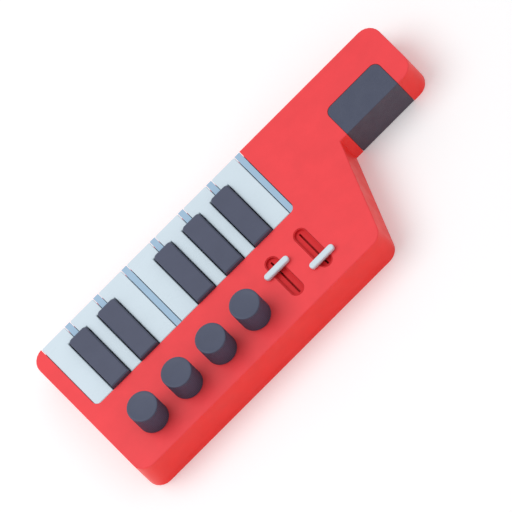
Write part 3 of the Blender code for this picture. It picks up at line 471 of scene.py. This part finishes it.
@dataclass(frozen=True)
class CircuitBoard:
    """A solder-masked board whose copper tracks show faintly through the mask."""

    name: str
    colour: Colour = Colour(38, 104, 66)
    tracks_per_metre: float = 160.0
    track_width: float = 0.12
    track_gain: float = 1.5
    track_depth: float = 0.00004
    flux_per_metre: float = 300.0
    roughness: Point = (0.3, 0.45)

    def build(self) -> Material:
        """Makes the material.

        Returns:
            The material.
        """
        sheet = NodeSheet(self.name)
        tracks = sheet.add(
            "ShaderNodeTexBrick", Vector=sheet.coordinates,
            Scale=self.tracks_per_metre, Mortar_Size=self.track_width).outputs["Fac"]
        fill = sheet.ranged(tracks, 0, 0.8, (0, 1))
        base = sheet.mixed(fill, self.colour.linear(), self.colour.linear(self.track_gain))
        sheet.feed(sheet.shader.inputs["Base Color"], base)
        flux = sheet.ranged(sheet.noise(self.flux_per_metre), *self.roughness)
        sheet.feed(sheet.shader.inputs["Roughness"], flux)
        sheet.feed(sheet.shader.inputs["Normal"], sheet.bumped(tracks, self.track_depth))
        return sheet.material


@dataclass(frozen=True)
class PressedPaper:
    """Black pressed paper with loose fibres."""

    name: str
    colour: Colour = Colour(48, 46, 45)
    gains: Point = (0.8, 1.5)
    fibres_per_metre: float = 700.0
    fibre_stretch: Triple = (1.0, 4.0, 1.0)
    fibre_depth: float = 0.0001
    roughness: Point = (0.8, 0.95)

    def build(self) -> Material:
        """Makes the material.

        Returns:
            The material.
        """
        sheet = NodeSheet(self.name)
        fibres = sheet.noise(self.fibres_per_metre, 6, self.fibre_stretch)
        low, high = [self.colour.linear(gain) for gain in self.gains]
        sheet.feed(sheet.shader.inputs["Base Color"], sheet.mixed(sheet.ranged(fibres, 0, 1), low, high))
        sheet.feed(sheet.shader.inputs["Roughness"], sheet.ranged(fibres, *self.roughness))
        sheet.feed(sheet.shader.inputs["Normal"], sheet.bumped(fibres, self.fibre_depth))
        return sheet.material


@dataclass(frozen=True)
class FloorPaint:
    """A pale, even studio floor."""

    name: str = "floor_paint"
    colour: Colour = Colour(250, 250, 251)
    shade_gain: float = 0.99
    clouds_per_metre: float = 3.0
    roughness: float = 0.9
    gloss: float = 0.1
    glow: float = 0.15

    def build(self) -> Material:
        """Makes the material.

        Returns:
            The material.
        """
        sheet = NodeSheet(self.name)
        clouds = sheet.ranged(sheet.noise(self.clouds_per_metre, 4), 0, 1)
        base = sheet.mixed(clouds, self.colour.linear(self.shade_gain), self.colour.linear())
        sheet.feed(sheet.shader.inputs["Base Color"], base)
        sheet.shader.inputs["Roughness"].default_value = self.roughness
        sheet.shader.inputs["Specular IOR Level"].default_value = self.gloss
        sheet.feed(sheet.shader.inputs["Emission Color"], base)
        sheet.shader.inputs["Emission Strength"].default_value = self.glow
        return sheet.material


def built(recipe: MouldedPlastic | Rubber | PlatedSteel | CircuitBoard | PressedPaper) -> Material:
    """A dataclass field that holds a recipe's material."""
    return field(default_factory=recipe.build)


SLATE = Colour(80, 86, 106)


@dataclass(frozen=True)
class Finishes:
    """Every finish on the keytar, made once and shared by the pieces."""

    # The shell's side colour is a painted shade on its upright walls, not a second red.
    shell: Material = built(MouldedPlastic("shell_plastic", Colour(247, 72, 78), shaded_sides=Colour(248, 38, 32)))
    cover: Material = built(MouldedPlastic("cover_plastic", Colour(226, 58, 56), 0.5, grain_depth=0.00008))
    well: Material = built(MouldedPlastic("well_plastic", Colour(216, 38, 44), 0.5, wear=0.05))
    white_key: Material = built(MouldedPlastic(
        "pale_key_plastic", Colour(215, 230, 240), 0.3, 0.012, grain_depth=0.00001, wear=0.2))
    # The tray is real, but its blue-grey is a painted shade: it copies the shade between the white keys.
    bed: Material = built(MouldedPlastic("bed_plastic", Colour(165, 195, 220), 0.45, 0.02))
    black_key: Material = built(MouldedPlastic(
        "slate_key_plastic", Colour(82, 87, 107), 0.4, 0.04, grain_depth=0.00004, wear=0.1))
    # The knob's side colour is a painted shade on its upright sides.
    knob: Material = built(MouldedPlastic(
        "knob_plastic", SLATE, 0.45, 0.04, wear=0.15, shaded_sides=Colour(66, 70, 90)))
    # The grip's second colour is a painted shade on its upright faces.
    grip: Material = built(Rubber("grip_skin", SLATE, Colour(72, 60, 76)))
    steel: Material = built(PlatedSteel("plated_steel"))
    board: Material = built(CircuitBoard("solder_mask"))
    # The contact rubber's second colour is a painted shade on its upright faces.
    contact: Material = built(Rubber(
        "contact_silicone", Colour(62, 64, 68), Colour(58, 60, 64), 1600, 0.00004))
    paper: Material = built(PressedPaper("cone_paper"))
    cell: Material = built(MouldedPlastic("cell_wrapper", Colour(60, 70, 96), 0.3, wear=0.25))


# Mesh helpers

# Angles in degrees. Faces that turn less than the first one are a single flat. Edges that turn more
# than the others are shaded sharp or rounded.
FLAT_ANGLE = 1.0
SHARP_ANGLE = 35.0
ROUNDING_ANGLE = 40.0
TURNED_SHARP_ANGLE = 45.0


def linked(name: str, shape: bmesh.types.BMesh) -> bpy.types.Object:
    """An object from a bmesh, which is freed.

    Args:
        name: the object's name.
        shape: its shape, in the frame's own coordinates.

    Returns:
        The object, at the origin.
    """
    bmesh.ops.remove_doubles(shape, verts=shape.verts, dist=MERGE)
    bmesh.ops.recalc_face_normals(shape, faces=shape.faces)
    mesh = bpy.data.meshes.new(name)
    shape.to_mesh(mesh)
    shape.free()
    made = bpy.data.objects.new(name, mesh)
    bpy.context.scene.collection.objects.link(made)
    return made


def turned(profile: Sequence[Point], at: Vector, steps: int, turn: Matrix | None = None) -> bmesh.types.BMesh:
    """A closed (radius, height) profile turned about Z, then placed.

    Args:
        profile: the profile's points, which start and end on the axis.
        at: where its origin goes.
        steps: sides of the turned shape.
        turn: a rotation before it is placed.

    Returns:
        The shape.
    """
    shape = bmesh.new()
    rings = []
    for radius, height in profile:
        count = steps if radius > MERGE else 1
        angles = [2 * math.pi * i / steps for i in range(count)]
        rings.append([shape.verts.new((radius * math.cos(a), radius * math.sin(a), height)) for a in angles])
    for ring, above in zip(rings, rings[1:]):
        for i in range(steps):
            corners = [ring[i - 1 if len(ring) > 1 else 0], ring[i % len(ring)],
                       above[i % len(above)], above[i - 1 if len(above) > 1 else 0]]
            shape.faces.new(list(dict.fromkeys(corners)))
    place = Matrix.Translation(at) @ (turn.to_4x4() if turn else Matrix.Identity(4))
    bmesh.ops.transform(shape, matrix=place, verts=shape.verts)
    return shape


def fillet(corner: Point, radius: float, start: float, steps: int = 5) -> list[Point]:
    """A quarter-round on a profile, turning counter-clockwise.

    Args:
        corner: the centre of the round.
        radius: its radius.
        start: the angle it starts at, in degrees.
        steps: its number of steps.

    Returns:
        Its points.
    """
    angles = [math.radians(start + 90 * i / steps) for i in range(steps + 1)]
    return [(corner[0] + radius * math.cos(a), corner[1] + radius * math.sin(a)) for a in angles]


def stadium(centre: Vector, width: float, length: float, steps: int = 24) -> list[Vector]:
    """A round-ended outline along Y or X, whichever is longer.

    Args:
        centre: its middle.
        width: its extent along X.
        length: its extent along Y.
        steps: steps in each round end.

    Returns:
        Its points, counter-clockwise.
    """
    radius = min(width, length) / 2
    along_y = length > width
    reach = max(width, length) / 2 - radius
    points = []
    for end in (1, -1):
        offset = Vector((0, end * reach, 0)) if along_y else Vector((end * reach, 0, 0))
        start = (0 if end > 0 else 180) if along_y else (-90 if end > 0 else 90)
        for i in range(steps + 1):
            angle = math.radians(start + 180 * i / steps)
            points.append(centre + offset + Vector((math.cos(angle), math.sin(angle), 0)) * radius)
    return points


def lofted(rings: Sequence[Sequence[Vector]]) -> bmesh.types.BMesh:
    """A closed shape through rings with the same number of points, capped at both ends.

    Args:
        rings: the rings, from the bottom up.

    Returns:
        The shape.
    """
    shape = bmesh.new()
    levels = [[shape.verts.new(p) for p in ring] for ring in rings]
    shape.faces.new(list(reversed(levels[0])))
    shape.faces.new(levels[-1])
    for lower, upper in zip(levels, levels[1:]):
        for i in range(len(lower)):
            shape.faces.new((lower[i - 1], lower[i], upper[i], upper[i - 1]))
    return shape


def rounded_edges(made: bpy.types.Object, width: float, segments: int) -> None:
    """Rounds an object's sharp edges and keeps its flats flat.

    Args:
        made: the object.
        width: the width of the rounding.
        segments: its steps.
    """
    bevel = made.modifiers.new("moulded_edges", "BEVEL")
    bevel.width = width
    bevel.segments = segments
    bevel.limit_method = "ANGLE"
    bevel.angle_limit = math.radians(ROUNDING_ANGLE)
    bevel.use_clamp_overlap = True
    bevel.miter_outer = "MITER_ARC"
    weighted = made.modifiers.new("flat_normals", "WEIGHTED_NORMAL")
    weighted.keep_sharp = True


def smoothed(made: bpy.types.Object, angle: float) -> None:
    """Shades an object smooth, except where it turns more than an angle."""
    made.data.shade_smooth()
    made.data.set_sharp_from_angle(angle=math.radians(angle))


def set_out(made: bpy.types.Object, finish: Material, body: str, nodes: Iterable[str]) -> None:
    """Dresses a piece, hangs it on the body it rides on, hides the CAD nodes it stands for and logs its body.

    Args:
        made: the piece.
        finish: its material.
        body: the CAD body it moves with.
        nodes: the CAD nodes it stands for.
    """
    made.data.materials.clear()
    made.data.materials.append(finish)
    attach(made, body)
    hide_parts(*nodes)
    LOG.info("%s on %s", made.name, body)


def refined(node: str, name: str, edge: float, segments: int) -> bpy.types.Object:
    """A copy of a CAD node with its loose triangles merged and its edges rounded.

    Args:
        node: the CAD node.
        name: the piece's name.
        edge: the width of its rounded edges.
        segments: the steps of the rounding.

    Returns:
        The piece.
    """
    shape = bmesh.new()
    shape.from_mesh(frame["nodes"][node].data)
    bmesh.ops.remove_doubles(shape, verts=shape.verts, dist=5 * MERGE)
    bmesh.ops.dissolve_limit(
        shape, angle_limit=math.radians(FLAT_ANGLE), verts=shape.verts, edges=shape.edges,
        use_dissolve_boundaries=False)
    made = linked(name, shape)
    smoothed(made, SHARP_ANGLE)
    rounded_edges(made, edge, segments)
    return made


# Geometry Nodes


class NodeTree:
    """A Geometry Nodes tree with named inputs, whose result is baked to a plain mesh."""

    def __init__(self, name: str, inputs: dict[str, tuple[str, object]]) -> None:
        """Starts a tree.

        Args:
            name: the tree's name.
            inputs: each input's name, with its socket type and its value.
        """
        self.tree = bpy.data.node_groups.new(name, "GeometryNodeTree")
        face = self.tree.interface
        face.new_socket("Geometry", in_out="INPUT", socket_type="NodeSocketGeometry")
        face.new_socket("Geometry", in_out="OUTPUT", socket_type="NodeSocketGeometry")
        self.values = {}
        for label, (kind, value) in inputs.items():
            socket = face.new_socket(label, in_out="INPUT", socket_type=kind)
            self.values[socket.identifier] = value
        self.start = self.tree.nodes.new("NodeGroupInput")
        self.end = self.tree.nodes.new("NodeGroupOutput")

    def add(self, kind: str, **inputs: object) -> bpy.types.Node:
        """Adds a node, with values or sockets for its inputs by name.

        Args:
            kind: the node's type name.
            inputs: values or output sockets, by input name with _ for a space.

        Returns:
            The node.
        """
        node = self.tree.nodes.new(kind)
        for label, value in inputs.items():
            socket = node.inputs[label.replace("_", " ")]
            if isinstance(value, Socket):
                self.tree.links.new(value, socket)
            else:
                socket.default_value = value
        return node

    def given(self, label: str) -> Socket:
        """The tree's own input of that name."""
        return self.start.outputs[label]

    def close(self, geometry: Socket) -> None:
        """Ends the tree in Realize Instances and Set Material.

        Args:
            geometry: the socket of the tree's result.
        """
        whole = self.add("GeometryNodeRealizeInstances", Geometry=geometry)
        dressed = self.add(
            "GeometryNodeSetMaterial", Geometry=whole.outputs[0], Material=self.given("Finish"))
        self.tree.links.new(dressed.outputs[0], self.end.inputs[0])

    def bake(self, made: bpy.types.Object) -> None:
        """Runs the tree on an object and leaves its result as the object's plain mesh.

        Args:
            made: the object.
        """
        modifier = made.modifiers.new(self.tree.name, "NODES")
        modifier.node_group = self.tree
        for identifier, value in self.values.items():
            modifier[identifier] = value
        graph = bpy.context.evaluated_depsgraph_get()
        result = bpy.data.meshes.new_from_object(made.evaluated_get(graph), depsgraph=graph)
        made.modifiers.remove(modifier)
        made.data = result


@dataclass
class Ribs:
    """Upright ribs round a turned piece."""

    count: int
    width: float
    ring: float
    low: float
    high: float
    finish: Material

    def add_to(self, made: bpy.types.Object, axis: Vector) -> None:
        """Adds the ribs to a piece's mesh.

        Args:
            made: the turned piece.
            axis: a point on its axis.
        """
        tree = NodeTree("knob_ribs", {
            "Count": ("NodeSocketInt", self.count),
            "Radius": ("NodeSocketFloat", self.ring),
            "Rib Height": ("NodeSocketFloat", self.high - self.low),
            "Rib Radius": ("NodeSocketFloat", self.width / 2),
            "Centre": ("NodeSocketVector", (axis.x, axis.y, (self.low + self.high) / 2)),
            "Finish": ("NodeSocketMaterial", self.finish),
        })
        circle = tree.add("GeometryNodeMeshCircle", Vertices=tree.given("Count"), Radius=tree.given("Radius"))
        rib = tree.add(
            "GeometryNodeMeshCylinder", Vertices=8, Side_Segments=1,
            Radius=tree.given("Rib Radius"), Depth=tree.given("Rib Height"))
        spread = tree.add(
            "GeometryNodeInstanceOnPoints", Points=circle.outputs[0], Instance=rib.outputs["Mesh"])
        moved = tree.add(
            "GeometryNodeTransform", Geometry=spread.outputs[0], Translation=tree.given("Centre"))
        both = tree.tree.nodes.new("GeometryNodeJoinGeometry")
        tree.tree.links.new(moved.outputs[0], both.inputs[0])
        tree.tree.links.new(tree.given("Geometry"), both.inputs[0])
        tree.close(both.outputs[0])
        tree.bake(made)


# Sub-assemblies


@dataclass
class Casing:
    """The two mouldings, the battery door and the grip."""

    finishes: Finishes
    edge: float = 0.45 * MM
    grip_edge: float = 0.7 * MM

    def build(self) -> None:
        """Builds and dresses every piece of the casing."""
        mouldings = (
            ("front_shell", "shell", self.edge, 4, self.finishes.shell, Slot.SHELL),
            ("rear_cover", "back", self.edge / 2, 2, self.finishes.cover, Slot.COVER),
            ("battery_door", "door", self.edge / 2, 2, self.finishes.cover, Slot.COVER),
            ("neck_grip", "grip", self.grip_edge, 4, self.finishes.grip, Slot.GRIP),
        )
        for node, name, edge, segments, finish, slot in mouldings:
            set_out(refined(node, name, edge, segments), finish, CASING, [node])


@dataclass
class CaseScrews:
    """Every case screw, in one mesh: a pan head with a cross in it, on a pointed shank."""

    finishes: Finishes
    nodes: tuple[str, ...] = tuple(f"case_screw_{i}" for i in range(1, 7)) + ("battery_door_screw",)
    head: float = 1.8 * MM
    dome: float = 0.1 * MM
    shank_share: float = 0.48
    slot_length: float = 0.62
    slot_width: float = 0.15
    slot_taper: Point = (1.15, 0.6)
    slot_depth_share: float = 0.6
    sharp_angle: float = 30.0
    seed: int = 7

    def build(self) -> None:
        """Puts a screw at each place, its cross turned its own way, and dresses them."""
        template = self.build_template()
        places = bmesh.new()
        for node in self.nodes:
            low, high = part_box(node)
            places.verts.new(((low.x + high.x) / 2, (low.y + high.y) / 2, low.z))
        made = linked("screws", places)
        tree = NodeTree("screw_places", {
            "Screw": ("NodeSocketObject", template),
            "Seed": ("NodeSocketInt", self.seed),
            "Finish": ("NodeSocketMaterial", self.finishes.steel),
        })
        form = tree.add("GeometryNodeObjectInfo", Object=tree.given("Screw"))
        angle = tree.tree.nodes.new("FunctionNodeRandomValue")
        angle.data_type = "FLOAT_VECTOR"
        angle.inputs["Max"].default_value = (0, 0, math.pi)
        tree.tree.links.new(tree.given("Seed"), angle.inputs["Seed"])
        spread = tree.add(
            "GeometryNodeInstanceOnPoints", Points=tree.given("Geometry"),
            Instance=form.outputs["Geometry"], Rotation=angle.outputs["Value"])
        tree.close(spread.outputs[0])
        tree.bake(made)
        bpy.data.objects.remove(template)
        smoothed(made, self.sharp_angle)
        set_out(made, self.finishes.steel, CASING, self.nodes)

    def build_template(self) -> bpy.types.Object:
        """One screw, head down, with its head's face at the origin.

        Returns:
            The screw.
        """
        low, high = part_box(self.nodes[0])
        radius, length = (high.x - low.x) / 2, high.z - low.z
        shank = radius * self.shank_share
        profile = [(0, 0), (radius * 0.7, self.dome), (radius * 0.95, self.head * 0.35),
                   (radius, self.head * 0.8), (radius, self.head), (shank, self.head),
                   (shank, length - radius), (0, length)]
        template = linked("screw_form", turned(profile, Vector(), 32))
        arms = {
            "arm_a": (self.slot_length * radius, self.slot_width * radius),
            "arm_b": (self.slot_width * radius, self.slot_length * radius),
        }
        for name, reach in arms.items():
            modifier = template.modifiers.new(name, "BOOLEAN")
            modifier.operation = "DIFFERENCE"
            modifier.object = self.build_arm(name, reach)
        graph = bpy.context.evaluated_depsgraph_get()
        template.data = bpy.data.meshes.new_from_object(template.evaluated_get(graph))
        template.modifiers.clear()
        for name in arms:
            bpy.data.objects.remove(bpy.data.objects[name])
        return template

    def build_arm(self, name: str, reach: Point) -> bpy.types.Object:
        """The cutter for one arm of the cross, which narrows into the head.

        Args:
            name: the cutter's name.
            reach: its half width along X and Y.

        Returns:
            The cutter.
        """
        corners = ((-1, -1), (1, -1), (1, 1), (-1, 1))
        ring = [Vector((x * reach[0], y * reach[1], 0)) for x, y in corners]
        wide, narrow = self.slot_taper
        outside = Vector((0, 0, -self.head))
        bottom = Vector((0, 0, self.head * self.slot_depth_share))
        return linked(name, lofted([[p * wide + outside for p in ring], [p * narrow + bottom for p in ring]]))


@dataclass
class StrapPin:
    """One turned strap button: a flange on the wall, a waisted neck and a round head."""

    number: int
    finishes: Finishes
    flange_share: float = 0.8
    flange_round: float = 0.5 * MM
    stand_off: float = 0.3 * MM
    waist_share: float = 0.5
    waist_end: float = 4.2 * MM
    head_round: float = 0.9 * MM

    def build(self) -> None:
        """Builds and dresses the button."""
        node = f"strap_button_{self.number}"
        low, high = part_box(node)
        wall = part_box("front_shell")[1].y
        at = Vector(((low.x + high.x) / 2, wall, (low.z + high.z) / 2))
        profile = self.profile((high.x - low.x) / 2, high.y - wall, low.y - wall)
        turn = Matrix.Rotation(math.radians(-90), 3, "X")
        made = linked(f"strap_pin_{self.number}", turned(profile, at, 64, turn))
        smoothed(made, TURNED_SHARP_ANGLE)
        set_out(made, self.finishes.steel, CASING, [node])

    def profile(self, radius: float, reach: float, shank: float) -> list[Point]:
        """The turned profile, with heights counted outwards from the wall.

        Args:
            radius: the head's radius.
            reach: the head's face.
            shank: the inner end of the shank, below the wall.

        Returns:
            Its points.
        """
        stem, waist, flange = 0.3 * radius, self.waist_share * radius, self.flange_share * radius
        corner = flange - self.flange_round
        points = [(0, shank), (stem, shank), (stem, self.stand_off), (flange - 0.4 * MM, self.stand_off)]
        points += fillet((corner, 0.8 * MM), self.flange_round, -90)
        points += fillet((corner, 1.5 * MM), self.flange_round, 0)
        points += [(waist + 0.9 * MM, 2.2 * MM), (waist + 0.2 * MM, 3.2 * MM), (waist, self.waist_end),
                   (waist, reach - self.waist_end), (waist + 0.5 * MM, reach - 3.2 * MM),
                   (radius - 1.2 * MM, reach - 2.2 * MM)]
        points += fillet((radius - self.head_round, reach - 1.2 * MM), self.head_round, -70)
        points += [(radius - 1.0 * MM, reach - 0.15 * MM), (radius * 0.6, reach), (0, reach)]
        return points


@dataclass
class Keyboard:
    """The sprung keys and what they stand on."""

    finishes: Finishes
    white_edge: float = 0.4 * MM
    black_edge: float = 0.5 * MM
    bed_edge: float = 0.3 * MM

    def build(self) -> None:
        """Builds and dresses the keys and their bed."""
        for node in sorted(frame["nodes"]):
            if node.startswith("white_key"):
                made = refined(node, node.replace("key", "keytop"), self.white_edge, 3)
                set_out(made, self.finishes.white_key, node, [node])
            elif node.startswith("black_key"):
                made = refined(node, node.replace("key", "keytop"), self.black_edge, 4)
                set_out(made, self.finishes.black_key, node, [node])
        # The tray's blue-grey ribs fill the gaps between the white keys as a painted shade.
        tray = refined("key_bed", "key_tray", self.bed_edge, 2)
        set_out(tray, self.finishes.bed, CASING, ["key_bed"])


@dataclass
class Knob:
    """One knob: a dished cap on a finely ribbed side, hollow below with a hub."""

    number: int
    finishes: Finishes
    wall: float = 2.6 * MM
    hub: float = 6 * MM
    bore: float = 3.3 * MM
    bore_cover: float = 6 * MM
    skirt: float = 1.6 * MM
    skirt_round: float = 0.4 * MM
    rib_count: int = 60
    rib_width: float = 0.8 * MM
    rib_rise: float = 0.22 * MM
    rib_bottom: float = 1.8 * MM
    rib_top: float = 2.4 * MM
    crown: float = 1.3 * MM
    dish: float = 0.35 * MM
    sharp_angle: float = 50.0

    def build(self) -> None:
        """Builds and dresses the knob."""
        node = f"knob_{self.number}"
        low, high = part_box(node)
        axis = Vector(((low.x + high.x) / 2, (low.y + high.y) / 2, 0))
        outer = (high.x - low.x) / 2
        made = linked(f"dial_{self.number}", turned(self.profile(outer, low.z, high.z), axis, 96))
        smoothed(made, self.sharp_angle)
        finish = self.finishes.knob
        ring = outer - self.rib_width / 2
        Ribs(self.rib_count, self.rib_width, ring, low.z + self.rib_bottom, high.z - self.rib_top,
             finish).add_to(made, axis)
        smoothed(made, self.sharp_angle)
        set_out(made, finish, node, [node])

    def profile(self, outer: float, foot: float, top: float) -> list[Point]:
        """The turned profile, from the bore's end round the outside to the dish.

        Args:
            outer: the knob's radius.
            foot: the height of its lower edge.
            top: the height of its face.

        Returns:
            Its points.
        """
        radius, roof = outer - self.rib_rise, top - self.wall
        bore_end, inner, rim = roof - self.bore_cover, radius - self.wall, outer - self.crown
        points = [(0, bore_end), (self.bore, bore_end), (self.bore, foot + self.wall),
                  (self.hub, foot + self.wall), (self.hub, roof), (inner, roof), (inner, foot),
                  (outer - 0.3 * MM, foot)]
        points += fillet((outer - self.skirt_round, foot + self.skirt_round), self.skirt_round, -90)
        points += [(outer, foot + self.skirt), (radius, foot + self.skirt + 0.5 * MM),
                   (radius, top - 2.6 * MM), (outer, top - 2.2 * MM)]
        points += fillet((rim, top - self.crown), self.crown, 0, 8)
        points += [(rim - 1.0 * MM, top), (rim - 1.8 * MM, top - 0.12 * MM),
                   (outer * 0.5, top - 0.75 * self.dish), (0, top - self.dish)]
        return points


@dataclass
class Slider:
    """One slider: its dark lining in the face and its pale finger bar."""

    number: int
    finishes: Finishes
    lining_edge: float = 0.2 * MM
    edge: float = 0.35 * MM
    crown: float = 1.5 * MM

    def build(self) -> None:
        """Builds and dresses the lining and the bar."""
        self.build_lining()
        self.build_bar()

    def build_lining(self) -> None:
        """The lining is the CAD shape with its edges rounded."""
        node = f"slider_well_{self.number}"
        made = refined(node, f"slot_lining_{self.number}", self.lining_edge, 2)
        set_out(made, self.finishes.well, CASING, [node])

    def build_bar(self) -> None:
        """A round-ended bar with a crowned top."""
        node = f"slider_cap_{self.number}"
        low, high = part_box(node)
        centre = Vector(((low.x + high.x) / 2, (low.y + high.y) / 2, 0))
        width, depth = high.x - low.x, high.y - low.y
        rings = [stadium(centre + Vector((0, 0, low.z)), width - 2 * self.edge, depth - 2 * self.edge)]
        rings.append(stadium(centre + Vector((0, 0, low.z + self.edge)), width, depth))
        for x, z in fillet((0.0, 0.0), self.crown, 0, 7):
            inset = 2 * (self.crown - x)
            level = Vector((0, 0, high.z - self.crown + z))
            rings.append(stadium(centre + level, width - inset, depth - inset))
        made = linked(f"slider_bar_{self.number}", lofted(rings))
        smoothed(made, TURNED_SHARP_ANGLE)
        set_out(made, self.finishes.white_key, f"slider_{self.number}", [node])


@dataclass
class Works:
    """The inner CAD nodes, which keep their shapes and get their finishes."""

    finishes: Finishes

    def choices(self) -> dict[str, Material]:
        """Which finish each inner node gets.

        Returns:
            A finish for each start of a node's name.
        """
        given = self.finishes
        return {
            "key_hinge_rod": given.steel,
            "contact_strip": given.contact,
            "key_circuit_board": given.board,
            "control_circuit_board": given.board,
            "potentiometer": given.steel,
            "slide_potentiometer": given.well,
            "slider_lever": given.steel,
            "speaker_frame": given.steel,
            "speaker_magnet": given.steel,
            "speaker_cone": given.paper,
            "battery_cell": given.cell,
            "battery_spring": given.steel,
            "battery_flat": given.steel,
        }

    def dress(self) -> None:
        """Gives every CAD node that still shows its material."""
        for node, made in sorted(frame["nodes"].items()):
            if made.hide_render:
                continue
            found = [finish for start, finish in self.choices().items() if node.startswith(start)]
            made.data.materials.clear()
            made.data.materials.append(found[0])
            LOG.info("%s keeps its CAD shape", node)


@dataclass
class Studio:
    """The floor, the lights and the camera."""

    floor_reach: float = 12.0
    floor_drop: float = 0.2 * MM
    surround: float = 0.62
    lamp_place: Triple = (-1.0, 0.5, 2.2)
    lamp_size: float = 2.0
    lamp_power: float = 26.0
    elevation: float = 60.0
    roll: float = 45.0
    aim_along: float = -5.95 * MM
    aim_up: float = 18.16 * MM
    view_width: float = 0.512
    focal_length: float = 1500.0
    sensor: float = 36.0

    def build(self) -> None:
        """Builds the stage."""
        self.build_floor()
        self.build_lights()
        self.build_camera()

    def build_floor(self) -> None:
        """A pale floor under the keytar."""
        shape = bmesh.new()
        bmesh.ops.create_grid(shape, x_segments=8, y_segments=8, size=self.floor_reach)
        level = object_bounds()[0][2] - self.floor_drop
        bmesh.ops.translate(shape, vec=(0, 0, level), verts=shape.verts)
        floor = linked("floor", shape)
        floor.data.materials.append(FloorPaint().build())
        floor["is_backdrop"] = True

    def build_lights(self) -> None:
        """A bright even surround and one broad lamp above."""
        world = bpy.data.worlds.new("surround")
        world.use_nodes = True
        background = world.node_tree.nodes["Background"]
        background.inputs["Color"].default_value = (1, 1, 1, 1)
        background.inputs["Strength"].default_value = self.surround
        bpy.context.scene.world = world
        lamp = bpy.data.lights.new("broad_lamp", "AREA")
        lamp.shape = "DISK"
        lamp.size = self.lamp_size
        lamp.energy = self.lamp_power
        holder = bpy.data.objects.new("broad_lamp", lamp)
        place = Vector(self.lamp_place)
        holder.matrix_world = Matrix.Translation(place) @ place.to_track_quat("Z", "Y").to_matrix().to_4x4()
        bpy.context.scene.collection.objects.link(holder)

    def build_camera(self) -> None:
        """A very long lens above the lower edge, rolled so that the neck points up and to the right."""
        tilt = math.radians(self.elevation)
        right, up = Vector((1, 0, 0)), Vector((0, math.sin(tilt), math.cos(tilt)))
        back = Vector((0, -math.cos(tilt), math.sin(tilt)))
        turn = Matrix.Rotation(math.radians(-self.roll), 3, back)
        distance = self.view_width * self.focal_length / self.sensor
        place = right * self.aim_along + up * self.aim_up + back * distance
        axes = Matrix((turn @ right, turn @ up, back)).transposed()
        lens = bpy.data.cameras.new("camera")
        lens.lens, lens.sensor_width, lens.clip_end = self.focal_length, self.sensor, 10 * distance
        camera = bpy.data.objects.new("camera", lens)
        camera.matrix_world = Matrix.Translation(place) @ axes.to_4x4()
        bpy.context.scene.collection.objects.link(camera)
        bpy.context.scene.camera = camera
        bpy.context.scene.view_settings.view_transform = "Standard"


def main() -> None:
    """Builds the keytar's sub-assemblies in order, then the studio."""
    logging.basicConfig(level=logging.INFO)
    finishes = Finishes()
    Casing(finishes).build()
    CaseScrews(finishes).build()
    for number in (1, 2):
        StrapPin(number, finishes).build()
    Keyboard(finishes).build()
    for number in range(1, 5):
        Knob(number, finishes).build()
    for number in (1, 2):
        Slider(number, finishes).build()
    Works(finishes).dress()
    Studio().build()


if __name__ == "__main__":
    main()
